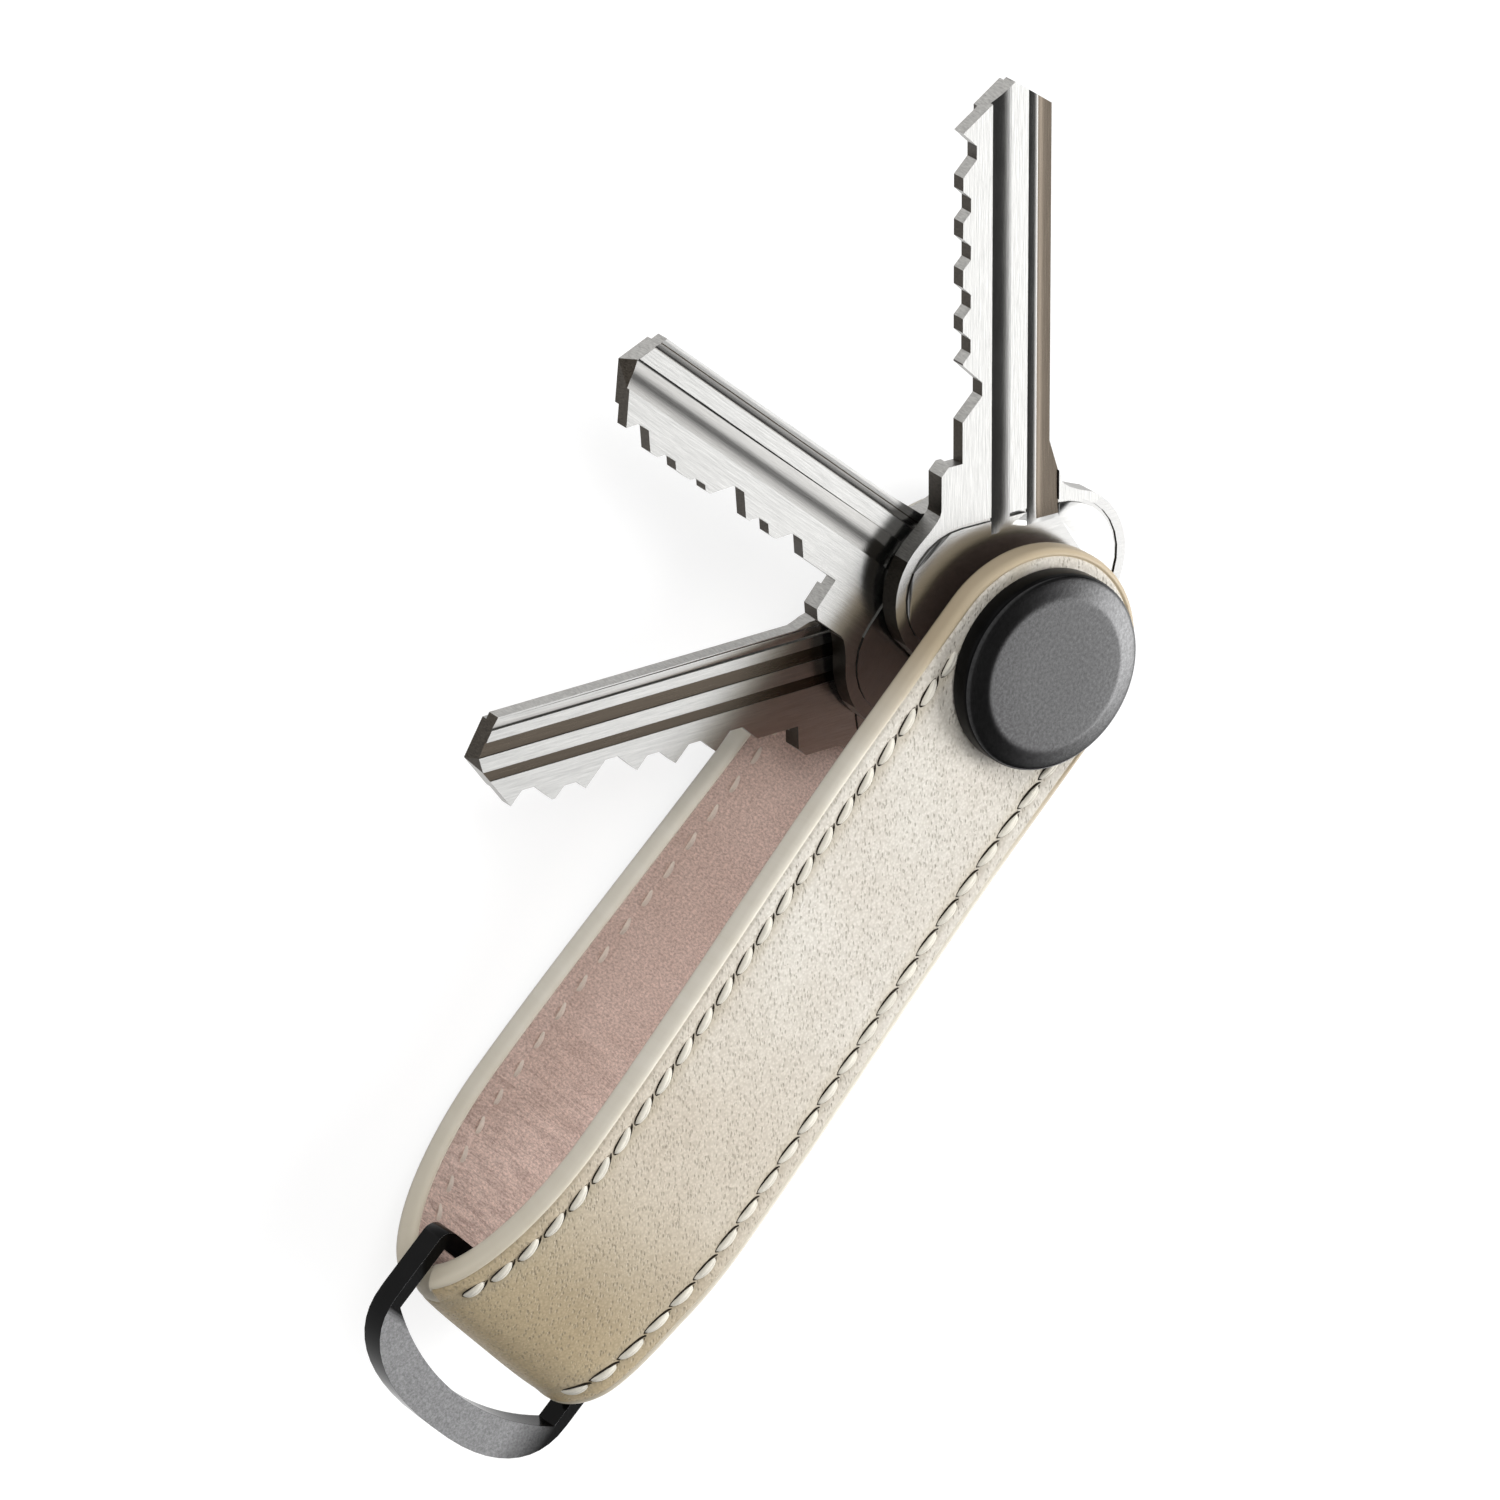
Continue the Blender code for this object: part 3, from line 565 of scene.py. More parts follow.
def lining_material():
    """Pink-brown leather with fine flecks, and creases across it that grow towards the bend, coloured with
    painted shade in their hollows and painted light on their crests.
    """
    mat = material("lining_leather", (0.52, 0.36, 0.31), 0, 0.6)
    n = Nodes(mat)
    flat = n.on_strap()
    along, _, _ = n.split(flat)
    broad = n.noise(flat, 0.12, detail=3, rough=0.5)
    creases = n.noise(n.on_strap((1.0, 0.22, 1)), 1.7, detail=6, rough=0.66, distortion=0.9)
    fine = n.noise(n.on_strap((1.0, 0.6, 1)), 5.5, detail=5, rough=0.65, distortion=0.4)
    cells = n.voronoi(flat, 3.2, "DISTANCE_TO_EDGE")
    tone = n.ramp(broad, [(0.35, (0.58, 0.435, 0.375)), (0.65, (0.64, 0.49, 0.43))])
    fleck = n.ramp(fine, [(0.38, (0.68, 0.65, 0.63)), (0.62, 1.24)])
    colour = n.mix(0.85, tone, fleck, "MULTIPLY")
    worked = n.range(n.distance(along, HALF_LENGTH / MM), 0.75, 0.12, 6.0, 34.0)
    # Painted shade in the creases' hollows and painted light on their crests
    crease_shade_and_light = n.ramp(creases, [(0.42, (0.66, 0.61, 0.59)), (0.50, 1.0), (0.62, (1.20, 1.19, 1.18))])
    n.feed("Base Color", n.mix(worked, colour, n.mix(1.0, colour, crease_shade_and_light, "MULTIPLY")))
    n.feed("Roughness", n.range(fine, 0.48, 0.68))
    n.bump((n.math("MULTIPLY", creases, worked), 0.45, 0.6), (fine, 0.06, 0.6), (cells, 0.03, 0.4))
    return mat


def thread_material(name, colour):
    """Fibres along the strap, and an uneven tone."""
    mat = material(name, colour, 0, 0.6)
    n = Nodes(mat)
    fibre = n.noise(n.in_mm((0.6, 5.2, 5.2)), 1.0, detail=3)
    tone = n.noise(n.in_mm(), 0.7, detail=3)
    n.feed("Base Color", n.ramp(tone, [(0.35, tuple(c * 0.84 for c in colour)), (0.65, colour)]))
    n.shader.inputs["Sheen Weight"].default_value = 0.25
    n.bump((fibre, 0.04, 0.5))
    return mat


def plain_material(name, colour, roughness):
    """One colour with a fine grain, for plastics and shadows."""
    mat = material(name, colour, 0, roughness)
    n = Nodes(mat)
    grain = n.noise(n.in_mm(), 6, detail=3)
    n.feed("Base Color", n.ramp(grain, [(0.3, colour), (0.7, tuple(min(c * 1.35, 1) for c in colour))]))
    n.bump((grain, 0.02, 0.4))
    return mat


def cap_material():
    """Dark blasted metal."""
    mat = material("cap_dark_satin", (0.13, 0.13, 0.132), 1.0, 0.30)
    n = Nodes(mat)
    place = n.in_mm()
    blast = n.noise(place, 3.4, detail=3, rough=0.75)
    broad = n.noise(place, 0.35, detail=4)
    n.feed("Base Color", n.ramp(blast, [(0.34, (0.090, 0.090, 0.091)), (0.66, (0.145, 0.145, 0.147))]))
    n.feed("Roughness", n.range(broad, 0.21, 0.27))
    n.bump((blast, 0.012, 0.6))
    return mat


def metal_material(name, colour, roughness, brush=(0.2, 1.0, 1.0), strength=0.3, dark=0.90, angle=0.0):
    """Metal with fine brush lines, drawn out by the brush stretch on axes turned by angle about Z."""
    mat = material(name, colour, 1, roughness)
    n = Nodes(mat)
    lines = n.noise(n.in_mm(brush, -angle), 7.0, detail=5, rough=0.7)
    cloud = n.noise(n.in_mm(), 0.25, detail=4)
    n.feed("Base Color", n.ramp(lines, [(0.3, tuple(c * dark for c in colour)), (0.7, colour)]))
    rough = n.math("ADD", n.range(lines, roughness * 0.8, roughness * 1.15), n.range(cloud, -0.03, 0.05))
    n.feed("Roughness", rough)
    n.bump((lines, 0.01, strength))
    return mat


def black_gloss_material(name, specular, smooth, rough):
    """Black lacquer, with a roughness that wanders from smooth to rough."""
    mat = material(name, (0.006, 0.006, 0.0065), 0.0, 0.14, specular)
    n = Nodes(mat)
    broad = n.noise(n.in_mm(), 0.6, detail=4)
    n.feed("Roughness", n.range(broad, smooth, rough))
    n.feed("Base Color", n.ramp(broad, [(0.3, (0.0012, 0.0012, 0.0013)), (0.7, (0.0035, 0.0035, 0.0037))]))
    n.bump((broad, 0.05, 0.12))
    return mat


def ring_face_material():
    """Black gloss on the arms and bar, and on the arc of the D a painted reflection in grey, rougher and
    partly metallic, with a soft change between them.
    """
    mat = material("ring_grey_painted_reflection", (0.20, 0.20, 0.205), 0.7, 0.42, specular=0.13)
    n = Nodes(mat)
    place = n.in_mm()
    x, y, _ = n.split(place)
    blast = n.noise(place, 5, detail=4, rough=0.65)
    broad = n.noise(place, 0.45, detail=4)
    share = n.math("MULTIPLY", n.range(x, 0, 1, *RING_GREY_FROM_X), n.range(y, 1, 0, *RING_GREY_TO_Y))
    grey = n.ramp(blast, [(0.3, (0.19, 0.19, 0.193)), (0.7, (0.38, 0.38, 0.385))])
    n.feed("Base Color", n.mix(share, (0.002, 0.002, 0.0021), grey))
    n.feed("Metallic", n.math("MULTIPLY", share, 0.7))
    n.feed("Roughness", n.math("ADD", n.range(broad, 0.0, 0.16), n.range(share, 0.10, 0.34)))
    n.bump((blast, 0.02, 0.5))
    return mat


LEATHER = leather_material()
EDGE_PAINT = edge_paint_material()
LINING = lining_material()
THREAD = thread_material("cream_thread", (0.84, 0.80, 0.70))
LINING_THREAD = thread_material("lining_thread", (0.74, 0.64, 0.55))
SLIT_SHADOW = plain_material("needle_slit_shadow", (0.018, 0.013, 0.008), 0.9)
CAP_METAL = cap_material()
CAP_RIM_SHADE = black_gloss_material("cap_rim_painted_shade", 0.06, 0.26, 0.36)
RING_BLACK = black_gloss_material("ring_black_gloss", 0.07, 0.10, 0.20)
RING_EDGE_HIGHLIGHT = metal_material("ring_edge_painted_highlight", (0.80, 0.80, 0.81), 0.10)
RING_GREY = ring_face_material()
NYLON = plain_material("white_nylon_washer", (0.62, 0.62, 0.60), 0.45)
PLASTIC = plain_material("black_plastic_spacer", (0.020, 0.020, 0.021), 0.5)
STEEL = metal_material("bright_steel", (0.58, 0.58, 0.60), 0.28)


# Strap

def half_width(length, side):
    """Half the strap's width on one side, narrowed in the notch. The far notch sits further round."""
    off = np.abs(length - HALF_LENGTH - (NOTCH_FAR_SHIFT if side > 0 else 0))
    open_share = smoothstep(off, *(NOTCH_HALF_LENGTH + corner for corner in NOTCH_CORNER))
    return HALF_WIDTH - (HALF_WIDTH - WAIST_HALF) * (1 - open_share)


def askew(x, y, height):
    """Moves a point of the straight strap to where the skewed bend has it."""
    share = smoothstep(x, SKEW_START_X, APEX_X)
    far = smoothstep(y, SKEW_LIFT_FROM_Y, HALF_WIDTH)
    lift = SKEW_LIFT * share * far * np.clip(height / SKEW_LIFT_FULL_HEIGHT, 0, 1)
    return x + SKEW * (y + HALF_WIDTH) * share, height + lift


def stations():
    """Lengths along the strap that get a ring of vertices, close together at the ends of the notches."""
    coarse = np.arange(0, 2 * HALF_LENGTH, STATION_STEP)
    fine = np.arange(*(NOTCH_HALF_LENGTH + limit for limit in NOTCH_FINE), NOTCH_STEP)
    near_notch = [HALF_LENGTH + shift + side * fine for side in (-1, 1) for shift in (0, NOTCH_FAR_SHIFT)]
    merged = np.sort(np.concatenate([coarse, *near_notch, [2 * HALF_LENGTH]]))
    keep = np.concatenate([[True], np.diff(merged) > LEAST_STEP])
    return merged[keep]


def valley(y, depth, spread):
    """Depth of the valley that a row of stitches pulls into the leather."""
    return depth * np.exp(-(((np.abs(y) - ROW_Y) / spread) ** 2))


def shell_lift(length, y):
    """How far the outer face stands over its plain path: padded middle, soft margin, rows' valleys."""
    near = from_pivot(length)
    pad = PAD_HEIGHT * np.clip(1 - (np.abs(y) / ROW_Y) ** 4, 0, 1)
    margin = MARGIN_HEIGHT * np.clip(1 - ((np.abs(y) - MARGIN_Y) / MARGIN_HALF) ** 2, 0, 1)
    before_bend = 1 - smoothstep(near, *(HALF_LENGTH - end for end in VALLEY_ENDS))
    sunk = valley(y, VALLEY_DEPTH, VALLEY_SPREAD) * before_bend * smoothstep(near, *VALLEY_FADES_IN)
    return (pad + margin) * smoothstep(near, *PAD_FADES_IN) - sunk


def lining_lift(length, y):
    """The lining's own relief: a valley under each row, and creases across it that grow towards the bend."""
    near = from_pivot(length)
    grown = CREASE_LEAST + (1 - CREASE_LEAST) * smoothstep(near, *CREASE_GROWS)
    lengths, ys = np.broadcast_arrays(length, y)
    along, across = CREASE_SPACING
    creases = np.array([
        [noise.fractal(Vector((a / along, b / across, CREASE_SLICE)), *CREASE_FRACTAL) for a, b in zip(*row)]
        for row in zip(lengths, ys)
    ])
    relief = valley(y, LINING_VALLEY_DEPTH, LINING_VALLEY_SPREAD) - CREASE_HEIGHT * grown * creases
    return relief * smoothstep(near, *LINING_FADES_IN)


def drill(obj):
    """Cuts the round hole for the post and its bush through both legs."""
    shape = bmesh.new()
    bmesh.ops.create_cone(
        shape, cap_ends=True, segments=HOLE_SIDES, radius1=HOLE_RADIUS, radius2=HOLE_RADIUS,
        depth=DRILL_LENGTH, matrix=Matrix.Translation((0, 0, MIDDLE_Z)) @ Matrix.Rotation(HOLE_TURN, 4, "Z"),
    )
    mesh = bpy.data.meshes.new("drill")
    shape.to_mesh(mesh)
    shape.free()
    cutter = placed("drill", mesh)
    boolean = obj.modifiers.new("hole", "BOOLEAN")
    boolean.object = cutter
    boolean.solver = "EXACT"
    apply_modifiers(obj)
    bpy.data.objects.remove(cutter)


def sweep_strap(name, profile, top_count, top_lift, painted_from, materials, replaces):
    """A closed band: the half profile (distance from the middle, depth) on both sides of every station,
    turned round the pivot axis at each end. top_lift(length, y) lifts the first top_count points of the
    profile, and the faces past its point painted_from get the second material."""
    radius, depth = np.array(profile).T
    count = len(profile)
    places = stations()
    last = len(places) - 1
    points, outward = at(places)
    drawn_in = smoothstep(radius, *LANES_DRAWN_IN)[None, :]
    is_top = np.arange(count) < top_count
    vertices, flat, index = [], [], {}

    def add(column, k, position, length, y):
        index[column, k] = len(vertices)
        vertices.append(position)
        flat.append((length / MM, y / MM))

    for side in (1, -1):
        y = side * (radius[None, :] - drawn_in * (HALF_WIDTH - half_width(places, side))[:, None])
        inside = depth[None, :] - np.where(is_top[None, :], top_lift(places[:, None] + 0 * y, y), 0)
        x, height = askew(points[:, :1] - outward[:, :1] * inside, y, points[:, 1:] - outward[:, 1:] * inside)
        z = MIDDLE_Z + height
        for i in range(last + 1):
            for k in range(count):
                if radius[k] == 0 and side < 0:
                    index[(i, side), k] = index[(i, 1), k]
                else:
                    add((i, side), k, (x[i, k], y[i, k], z[i, k]), places[i], y[i, k])
    for station, up in ((0, 1), (last, -1)):
        for turn in range(1, END_TURNS):
            angle = math.pi * turn / END_TURNS
            column = ("end", station, turn)
            for k in range(count):
                if radius[k] == 0:
                    index[column, k] = index[(station, 1), k]
                    continue
                x = -radius[k] * math.sin(angle)
                y = radius[k] * math.cos(angle)
                z = MIDDLE_Z + up * (LEG_HALF - depth[k])
                add(column, k, (x, y, z), x if up > 0 else 2 * HALF_LENGTH - x, y)

    faces, painted = [], []

    def stretch(near, far):
        """Faces between two columns of profile points."""
        for k in range(count - 1):
            around = ((near, k), (far, k), (far, k + 1), (near, k + 1))
            corners = list(dict.fromkeys(index[place] for place in around))
            if len(corners) > 2:
                faces.append(corners)
                painted.append(int(k >= painted_from))

    for i in range(last):
        for side in (1, -1):
            stretch((i, side), (i + 1, side))
    for station in (0, last):
        columns = [(station, 1), *(("end", station, turn) for turn in range(1, END_TURNS)), (station, -1)]
        for near, far in zip(columns, columns[1:]):
            stretch(near, far)
    obj = new_object(name, vertices, faces, materials)
    mesh = obj.data
    mesh.polygons.foreach_set("material_index", painted)
    layer = mesh.uv_layers.new(name=STRAP_UV)
    corners = np.array(flat)[[loop.vertex_index for loop in mesh.loops]]
    layer.data.foreach_set("uv", corners.astype(np.float32).ravel())
    drill(obj)
    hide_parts(*replaces)


def lanes(limit, depth):
    """Profile points across the top, from the middle to near the limit."""
    return [(y, depth) for y in np.arange(0, limit - 0.5 * LANE_STEP, LANE_STEP)]


def from_edge(rim, profile):
    """Profile points of (distance in from the rim, depth), both in mm."""
    return [(rim - inset * MM, depth * MM) for inset, depth in profile]


def under(depth):
    """Profile points across the back, from near the edge to the middle."""
    return [(y * MM, depth) for y in BACK_LANES]


def make_shell():
    edge = from_edge(HALF_WIDTH, EDGE_PROFILE)
    top = lanes(edge[0][0], 0.0)
    sweep_strap(
        "strap_leather_shell", top + edge + under(SHELL_BACK_DEPTH), len(top), shell_lift,
        len(top) + PAINT_STARTS_AT, (LEATHER, EDGE_PAINT),
        ("strap_outer_leather", "strap_stiffener"),
    )


def make_lining():
    rim = HALF_WIDTH - LINING_INSET
    top = lanes(rim - LINING_LANES_END, LINING_FACE_DEPTH)
    profile = top + from_edge(rim, LINING_EDGE) + under(LINING_BACK_DEPTH)
    sweep_strap(
        "strap_lining_leather", profile, len(top), lining_lift, len(profile), (LINING,),
        ("strap_lining",),
    )


# Stitches

ACROSS = np.array([0.0, 1.0, 0.0])


def tube(centres, radii, outward, sides):
    """Vertices and faces of a closed tube along centres, with a radius and an upward direction at each."""
    vertices, faces = [], []
    for centre, radius, out in zip(centres, radii, outward):
        for step in range(sides):
            angle = 2 * math.pi * step / sides
            vertices.append(centre + radius * (math.cos(angle) * ACROSS + math.sin(angle) * out))
    last = (len(centres) - 1) * sides
    for start in range(0, last, sides):
        for step in range(sides):
            beside = (step + 1) % sides
            faces.append([start + step, start + beside, start + sides + beside, start + sides + step])
    faces.append(list(range(sides))[::-1])
    faces.append([last + step for step in range(sides)])
    return vertices, faces


def surface_point(length, y, depth):
    """Point on the strap at a depth under its outer face, with the outward direction there."""
    (point,), (outward,) = at(np.array([length]))
    x, height = askew(point[0] - outward[0] * depth, y, point[1] - outward[1] * depth)
    return np.array([x, y, MIDDLE_Z + height]), np.array([outward[0], 0, outward[1]])


def strand(start, length, y, depth, facing, form, sides):
    """A tube along a row. form(share) gives its place across the row, its height and its radius."""
    centres, radii, outs = [], [], []
    for i in range(STITCH_STEPS):
        share = i / (STITCH_STEPS - 1)
        point, outward = surface_point(start + length * share, y, depth)
        off, height, radius = form(share)
        out = facing * outward
        centres.append(point + off * ACROSS + height * out)
        radii.append(radius)
        outs.append(out)
    return tube(centres, radii, outs, sides)


class Gathered:
    """Collects many small solids into one mesh."""

    def __init__(self):
        self.vertices, self.faces = [], []

    def add(self, vertices, faces):
        start = len(self.vertices)
        self.vertices += vertices
        self.faces += [[start + i for i in f] for f in faces]

    def build(self, name, mat, slot):
        new_object(name, self.vertices, self.faces, [mat])


def add_thread(threads, start, y, depth, facing, towards, length, width):
    """One lock stitch: two plies that swell and turn round each other, sunk at both ends."""
    radius = width / 2
    for ply in (-1, 1):
        def form(share):
            swell = math.sin(math.pi * share) ** STITCH_SWELL
            turn = ply * (PLY_TWIST[0] + PLY_TWIST[1] * share) - PLY_LEAN
            off = STITCH_SLANT * towards * (2 * share - 1)
            off += ply * (PLY_SPREAD * radius * math.cos(turn) * swell + PLY_GAP)
            height = radius * (THREAD_RISE + PLY_RISE * ply * math.sin(turn)) * swell
            height -= STITCH_END_SINK * (1 - swell)
            return off, height, radius * (THREAD_END + (1 - THREAD_END) * swell)

        threads.add(*strand(start, length, y, depth, facing, form, THREAD_SIDES))


def add_slits(slits, start, y, towards):
    """Painted shadow: dark tubes in the slits that an outside stitch pulls open on both sides."""
    radius = STITCH_WIDTH / 2
    for side, thick, early in SLITS:
        def form(share):
            swell = math.sin(math.pi * share) ** SLIT_SWELL
            off = STITCH_SLANT * towards * (2 * share - 1)
            off += side * towards * (SLIT_SPREAD * radius * swell + SLIT_GAP)
            return off, SLIT_RISE * swell - SLIT_SINK, thick * (SLIT_END + (1 - SLIT_END) * swell)

        lead = early * STITCH_PITCH / 2
        slits.add(*strand(start - lead, STITCH_LENGTH + lead, y, STITCH_DEPTH, 1, form, SLIT_SIDES))


def make_stitches():
    threads, slits, lining_threads = Gathered(), Gathered(), Gathered()
    for row in (-1, 1):
        y = row * ROW_Y
        for number in range(STITCH_COUNT):
            start = ROW_STARTS[row] + number * STITCH_PITCH
            for place in (start, 2 * HALF_LENGTH - start - STITCH_LENGTH):
                add_thread(threads, place, y, STITCH_DEPTH, 1, -row, STITCH_LENGTH, STITCH_WIDTH)
                add_slits(slits, place, y, -row)
                if start > LINING_ROW_FROM:
                    add_thread(
                        lining_threads, place + LINING_STITCH_SHIFT, y, LINING_STITCH_DEPTH, -1, row,
                        LINING_STITCH_LENGTH, LINING_STITCH_WIDTH,
                    )
    threads.build("strap_stitches", THREAD, "beige_leather")
    # Dark tubes in the needle slits, painted shadow
    slits.build("stitch_slit_shadows", SLIT_SHADOW, "dark_plastic")
    lining_threads.build("lining_stitches", LINING_THREAD, "pink_brown_lining")


# Hardware

def turned(profile, sides):
    """Vertices and faces of a profile (radius, height) turned about Z."""
    vertices, faces, rings = [], [], []
    for radius, height in profile:
        start = len(vertices)
        if radius == 0:
            vertices.append((0, 0, height))
            rings.append([start] * sides)
            continue
        for step in range(sides):
            angle = 2 * math.pi * step / sides
            vertices.append((radius * math.cos(angle), radius * math.sin(angle), height))
        rings.append(range(start, start + sides))
    for near, far in zip(rings, rings[1:]):
        for i in range(sides):
            j = (i + 1) % sides
            faces.append(list(dict.fromkeys([near[i], near[j], far[j], far[i]])))
    return vertices, faces


def make_cap():
    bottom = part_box("front_cap")[0].z
    ceiling = bottom + CAP_SOCKET_DEPTH
    profile = [(radius * MM, height * MM) for radius, height in CAP_OUTLINE]
    profile += [(CAP_SOCKET_RADIUS, bottom), (CAP_SOCKET_RADIUS, ceiling), (0, ceiling)]
    vertices, faces = turned(profile, CAP_SIDES)
    obj = new_object("front_cap_body", vertices, faces, (CAP_METAL, CAP_RIM_SHADE))
    obj.data.set_sharp_from_angle(angle=math.radians(CAP_SHARP))
    # Painted dark reflection: faces turned down past CAP_RIM_BELOW_NORMAL, the rim, get black lacquer instead
    # of the cap's metal
    for polygon in obj.data.polygons:
        polygon.material_index = int(polygon.normal.z < CAP_RIM_BELOW_NORMAL)
    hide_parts("front_cap")


def copied(node, name, body, finishes, sharp, rounding=0.0, reshape=None):
    """A welded copy of a CAD node's mesh in its own finishes, shaded smooth up to the angle sharp.
    reshape(shape) works on its mesh, and rounding is the width of the bevel on its edges."""
    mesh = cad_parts[node].data.copy()
    obj = placed(name, mesh)
    shape = bmesh.new()
    shape.from_mesh(mesh)
    bmesh.ops.remove_doubles(shape, verts=shape.verts, dist=CAD_WELD)
    bmesh.ops.dissolve_limit(
        shape, angle_limit=math.radians(FLAT_ANGLE), verts=shape.verts, edges=shape.edges, delimit={"NORMAL"}
    )
    if reshape:
        shape.normal_update()
        reshape(shape)
        bmesh.ops.dissolve_degenerate(shape, edges=shape.edges, dist=SLIVER)
        many_sided = [face for face in shape.faces if len(face.verts) > 4]
        bmesh.ops.triangulate(shape, faces=many_sided, ngon_method="BEAUTY")
    shape.to_mesh(mesh)
    shape.free()
    mesh.materials.clear()
    if rounding:
        bevel = obj.modifiers.new("round", "BEVEL")
        bevel.width = rounding
        bevel.segments = ROUNDING_SEGMENTS
        bevel.limit_method = "ANGLE"
        bevel.angle_limit = math.radians(ROUNDED_ANGLE)
        apply_modifiers(obj)
    obj.data.shade_smooth()
    obj.data.set_sharp_from_angle(angle=math.radians(sharp))
    weighted = obj.modifiers.new("weighted", "WEIGHTED_NORMAL")
    weighted.keep_sharp = True
    apply_modifiers(obj)
    for item in finishes:
        obj.data.materials.append(item)
    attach(obj, body)
    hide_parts(node)
    return obj


def key_axes(node):
    """A key's directions along its blade and across it to the cut side."""
    turn = math.radians(KEY_ANGLES[node])
    return Vector((math.cos(turn), math.sin(turn), 0)), Vector((-math.sin(turn), math.cos(turn), 0))


def tip_line(shape, across, along):
    """The blade's end as seen from the front: the upper hull of (across, along)."""
    tip = max(vertex.co.dot(along) for vertex in shape.verts)
    places = sorted({
        (round(vertex.co.dot(across), TIP_DIGITS), round(vertex.co.dot(along), TIP_DIGITS))
        for vertex in shape.verts if vertex.co.dot(along) > tip - TIP_REACH
    })
    hull = []
    for place in places:
        while len(hull) > 1 and (
            (hull[-1][0] - hull[-2][0]) * (place[1] - hull[-2][1])
            - (hull[-1][1] - hull[-2][1]) * (place[0] - hull[-2][0])
        ) >= 0:
            hull.pop()
        hull.append(place)
    return np.array(hull).T


def mill_grooves(shape, node, top):
    """Moves a key's flat-bottomed front grooves across the blade and gives them their milled section.
    Returns each groove's two sides and the share of its width that is brown, a painted reflection."""
    along, across = key_axes(node)
    slack = GROOVE_SLACK
    spans = set()
    for face in shape.faces:
        off_bottom = abs(top - face.calc_center_median().z - GROOVE_DEPTH)
        if face.normal.z > BOTTOM_NORMAL and off_bottom < 2 * slack:
            places = [vertex.co.dot(across) for vertex in face.verts]
            spans.add((round(min(places), SPAN_DIGITS), round(max(places), SPAN_DIGITS)))
    end_across, end_along = tip_line(shape, across, along)
    moves = []
    for (low, high), (shift, brown, depths) in zip(sorted(spans), GROOVES[node]):
        chosen = [
            vertex for vertex in shape.verts
            if low - slack < vertex.co.dot(across) < high + slack
            and vertex.co.dot(along) > GROOVES_START_ALONG and vertex.co.z > top - GROOVE_DEPTH - slack
        ]
        moves.append((chosen, shift, low + shift, high + shift, brown, depths))
    for chosen, shift, *_ in moves:
        for vertex in chosen:
            old = vertex.co.dot(across)
            end = np.interp(old, end_across, end_along)
            vertex.co += across * shift
            if abs(vertex.co.dot(along) - end) < 3 * slack:
                vertex.co += along * float(np.interp(old + shift, end_across, end_along) - end)
    for _, _, low, high, _, depths in moves:
        strips = len(depths) - 1

        def inside():
            return [
                face for face in shape.faces
                if face.normal.z > MILLED_NORMAL and top - face.calc_center_median().z > slack
                and all(low - slack < vertex.co.dot(across) < high + slack for vertex in face.verts)
            ]

        shape.normal_update()
        for i in range(1, strips):
            geometry = list({item for face in inside() for item in (face, *face.edges, *face.verts)})
            place = across * (low + (high - low) * i / strips)
            bmesh.ops.bisect_plane(shape, geom=geometry, plane_co=place, plane_no=across, dist=CUT_SNAP)
        for vertex in {vertex for face in inside() for vertex in face.verts}:
            from_cut = (high - vertex.co.dot(across)) / (high - low) * strips
            depth = np.interp(from_cut, range(strips + 1), depths) * MM
            vertex.co.z = top - (top - vertex.co.z) * float(depth) / GROOVE_DEPTH
    bmesh.ops.remove_doubles(shape, verts=shape.verts, dist=GROOVE_WELD)
    return [(low, high, brown) for _, _, low, high, brown, _ in moves]


def key_finish(polygon, top, along, across, grooves):
    """Which of the key's finishes a face has. Walls facing SHADE_SIDE get painted shade, the other walls
    painted light.
    """
    # Walls: painted shade where they face SHADE_SIDE, painted light elsewhere
    if abs(polygon.normal.z) < WALL_NORMAL:
        return SHADED_WALL if polygon.normal.dot(SHADE_SIDE) > SHADE_SHARE else LIT_WALL
    depth = top - polygon.center.z
    reach = polygon.center.dot(along)
    if GROOVE_LEAST_DEPTH < depth < GROOVE_DEPTH + GROOVE_DEPTH_SPARE and reach > GROOVES_START_ALONG:
        for low, high, brown in grooves:
            share = (polygon.center.dot(across) - low) / (high - low)
            if 0 < share < 1:
                # Brown share of a groove: painted reflection
                return BROWN_REFLECTION if share < brown else GROOVE
    return FACE if reach > BOW_END_ALONG else BOW


def make_keys():
    for node, angle in KEY_ANGLES.items():
        finishes = [
            metal_material(f"{node}_{name}", *settings, angle=math.radians(angle))
            for name, *settings in KEY_FINISHES
        ]
        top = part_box(node)[1].z
        grooves = []
        obj = copied(
            node, f"{node}_metal", f"{node}_body", finishes, sharp=KEY_SHARP,
            reshape=lambda shape: grooves.extend(mill_grooves(shape, node, top)),
        )
        for polygon in obj.data.polygons:
            polygon.material_index = key_finish(polygon, top, *key_axes(node), grooves)


def make_ring():
    finishes = (RING_BLACK, RING_GREY, RING_EDGE_HIGHLIGHT)
    obj = copied("d_ring", "d_ring_metal", "ring_body", finishes, sharp=RING_SHARP)
    for polygon in obj.data.polygons:
        # Flat faces: black, with the grey painted reflection on the arc
        if abs(polygon.normal.z) > FLAT_NORMAL:
            polygon.material_index = 1
        # Painted highlight: up-facing rounded edges of the arms and bar get bright metal
        elif polygon.normal.z > EDGE_NORMAL and polygon.center.x < RING_GREY_FROM_X[0] * MM:
            polygon.material_index = 2


def make_back_screw():
    copied(
        "back_screw", "back_screw_metal", "back_screw_body", [CAP_METAL],
        sharp=SCREW_SHARP, rounding=SCREW_ROUNDING,
    )


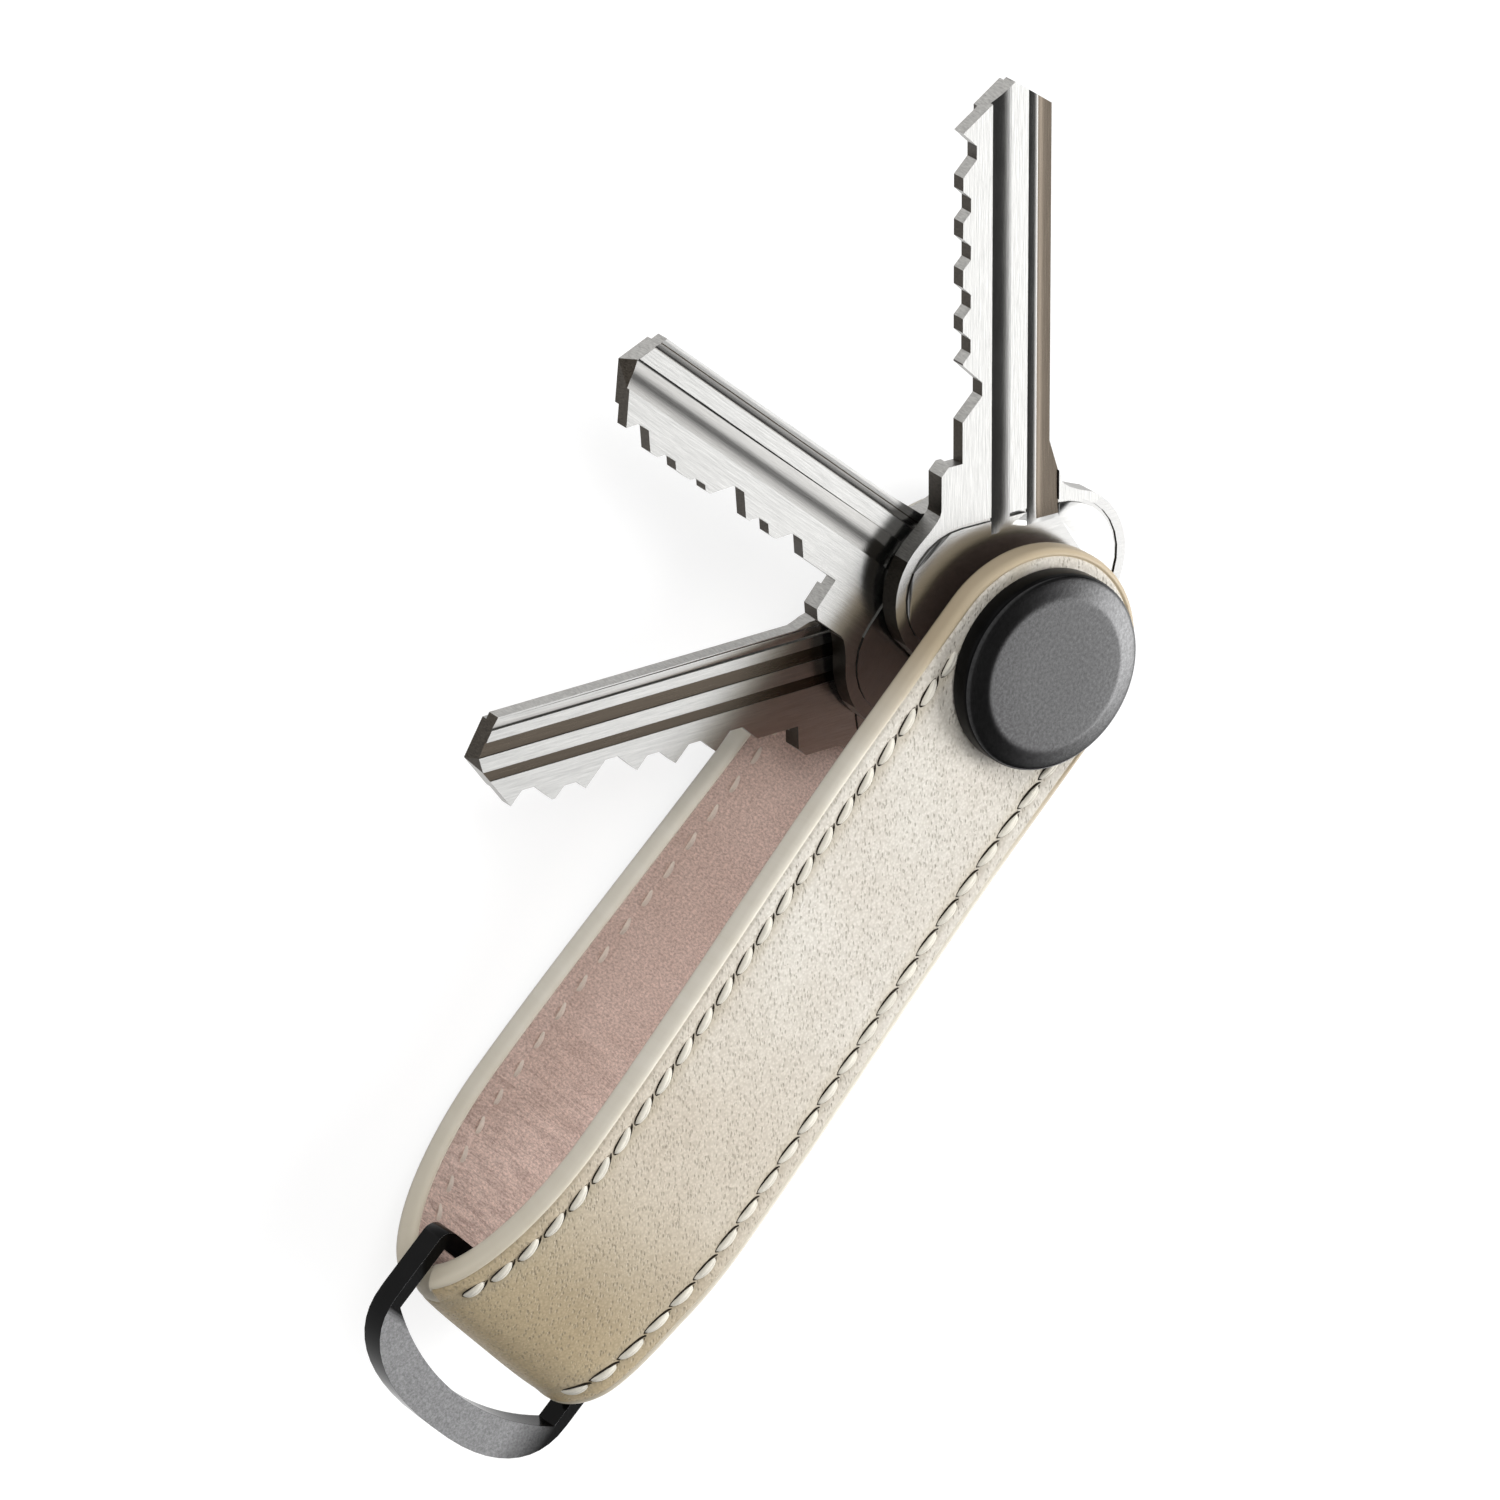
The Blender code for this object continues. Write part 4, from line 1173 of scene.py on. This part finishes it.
def dress_nodes():
    """Materials of the CAD nodes that are shown as they are."""
    dressed = {
        STEEL: ("front_bush", "back_bush", "post_barrel", "wave_washer"),
        PLASTIC: ("front_spacer", "back_spacer"),
        NYLON: ("front_friction_washer", "front_key_washer", "back_key_washer", "back_friction_washer"),
    }
    for finish, nodes in dressed.items():
        for node in nodes:
            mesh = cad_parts[node].data
            mesh.materials.clear()
            mesh.materials.append(finish)


# Stage

def make_floor():
    z = CAD_BOX[0][2] - FLOOR_GAP
    mesh = bpy.data.meshes.new("floor")
    corners = [(x * FLOOR_REACH, y * FLOOR_REACH, z) for x, y in ((-1, -1), (1, -1), (1, 1), (-1, 1))]
    mesh.from_pydata(corners, [], [(0, 1, 2, 3)])
    mat = material("pale_floor", (FLOOR_GREY, FLOOR_GREY, FLOOR_GREY), 0, 0.9, specular=0.0)
    n = Nodes(mat)
    ray = n.add("ShaderNodeLightPath").outputs
    seen = n.math("MAXIMUM", ray["Is Camera Ray"], ray["Is Glossy Ray"])
    n.shader.inputs["Emission Color"].default_value = (1, 1, 1, 1)
    n.feed("Emission Strength", n.math("MULTIPLY", seen, FLOOR_GLOW))
    mesh.materials.append(mat)
    placed("floor", mesh)


def make_world():
    world = bpy.data.worlds.new("studio")
    bpy.context.scene.world = world
    world.use_nodes = True
    n = Nodes(world, "Background")
    aim = n.add("ShaderNodeVectorMath", operation="DOT_PRODUCT")
    aim.inputs[1].default_value = Vector(WINDOW_DIRECTION).normalized()
    n.link(n.add("ShaderNodeTexCoord").outputs["Generated"], aim.inputs[0])
    n.feed("Color", n.ramp(aim.outputs["Value"], WORLD_STOPS))
    n.shader.inputs["Strength"].default_value = WORLD_STRENGTH


def make_lamps():
    for name, (place, target, side, watts) in LAMPS.items():
        data = bpy.data.lights.new(name, "AREA")
        data.shape = "SQUARE"
        data.size = side
        data.energy = watts
        lamp = placed(name, data)
        lamp.rotation_euler = (Vector(target) - Vector(place)).to_track_quat("-Z", "Y").to_euler()
        lamp.location = place
        lamp.visible_glossy = False


def make_camera():
    data = bpy.data.cameras.new("camera")
    data.sensor_width = CAMERA_FILM
    data.lens = CAMERA_FILM / 2 / math.tan(CAMERA_FIELD / 2)
    data.clip_end = CAMERA_REACH
    camera = placed("camera", data)
    columns = (CAMERA_RIGHT, CAMERA_UP, CAMERA_BACK, CAMERA_PLACE)
    camera.matrix_world = Matrix([*zip(*columns), (0, 0, 0, 1)])
    bpy.context.scene.camera = camera


make_camera()
make_shell()
make_lining()
make_stitches()
make_cap()
make_keys()
make_ring()
make_back_screw()
dress_nodes()
make_floor()
make_world()
make_lamps()
bpy.context.scene.view_settings.view_transform = "Standard"
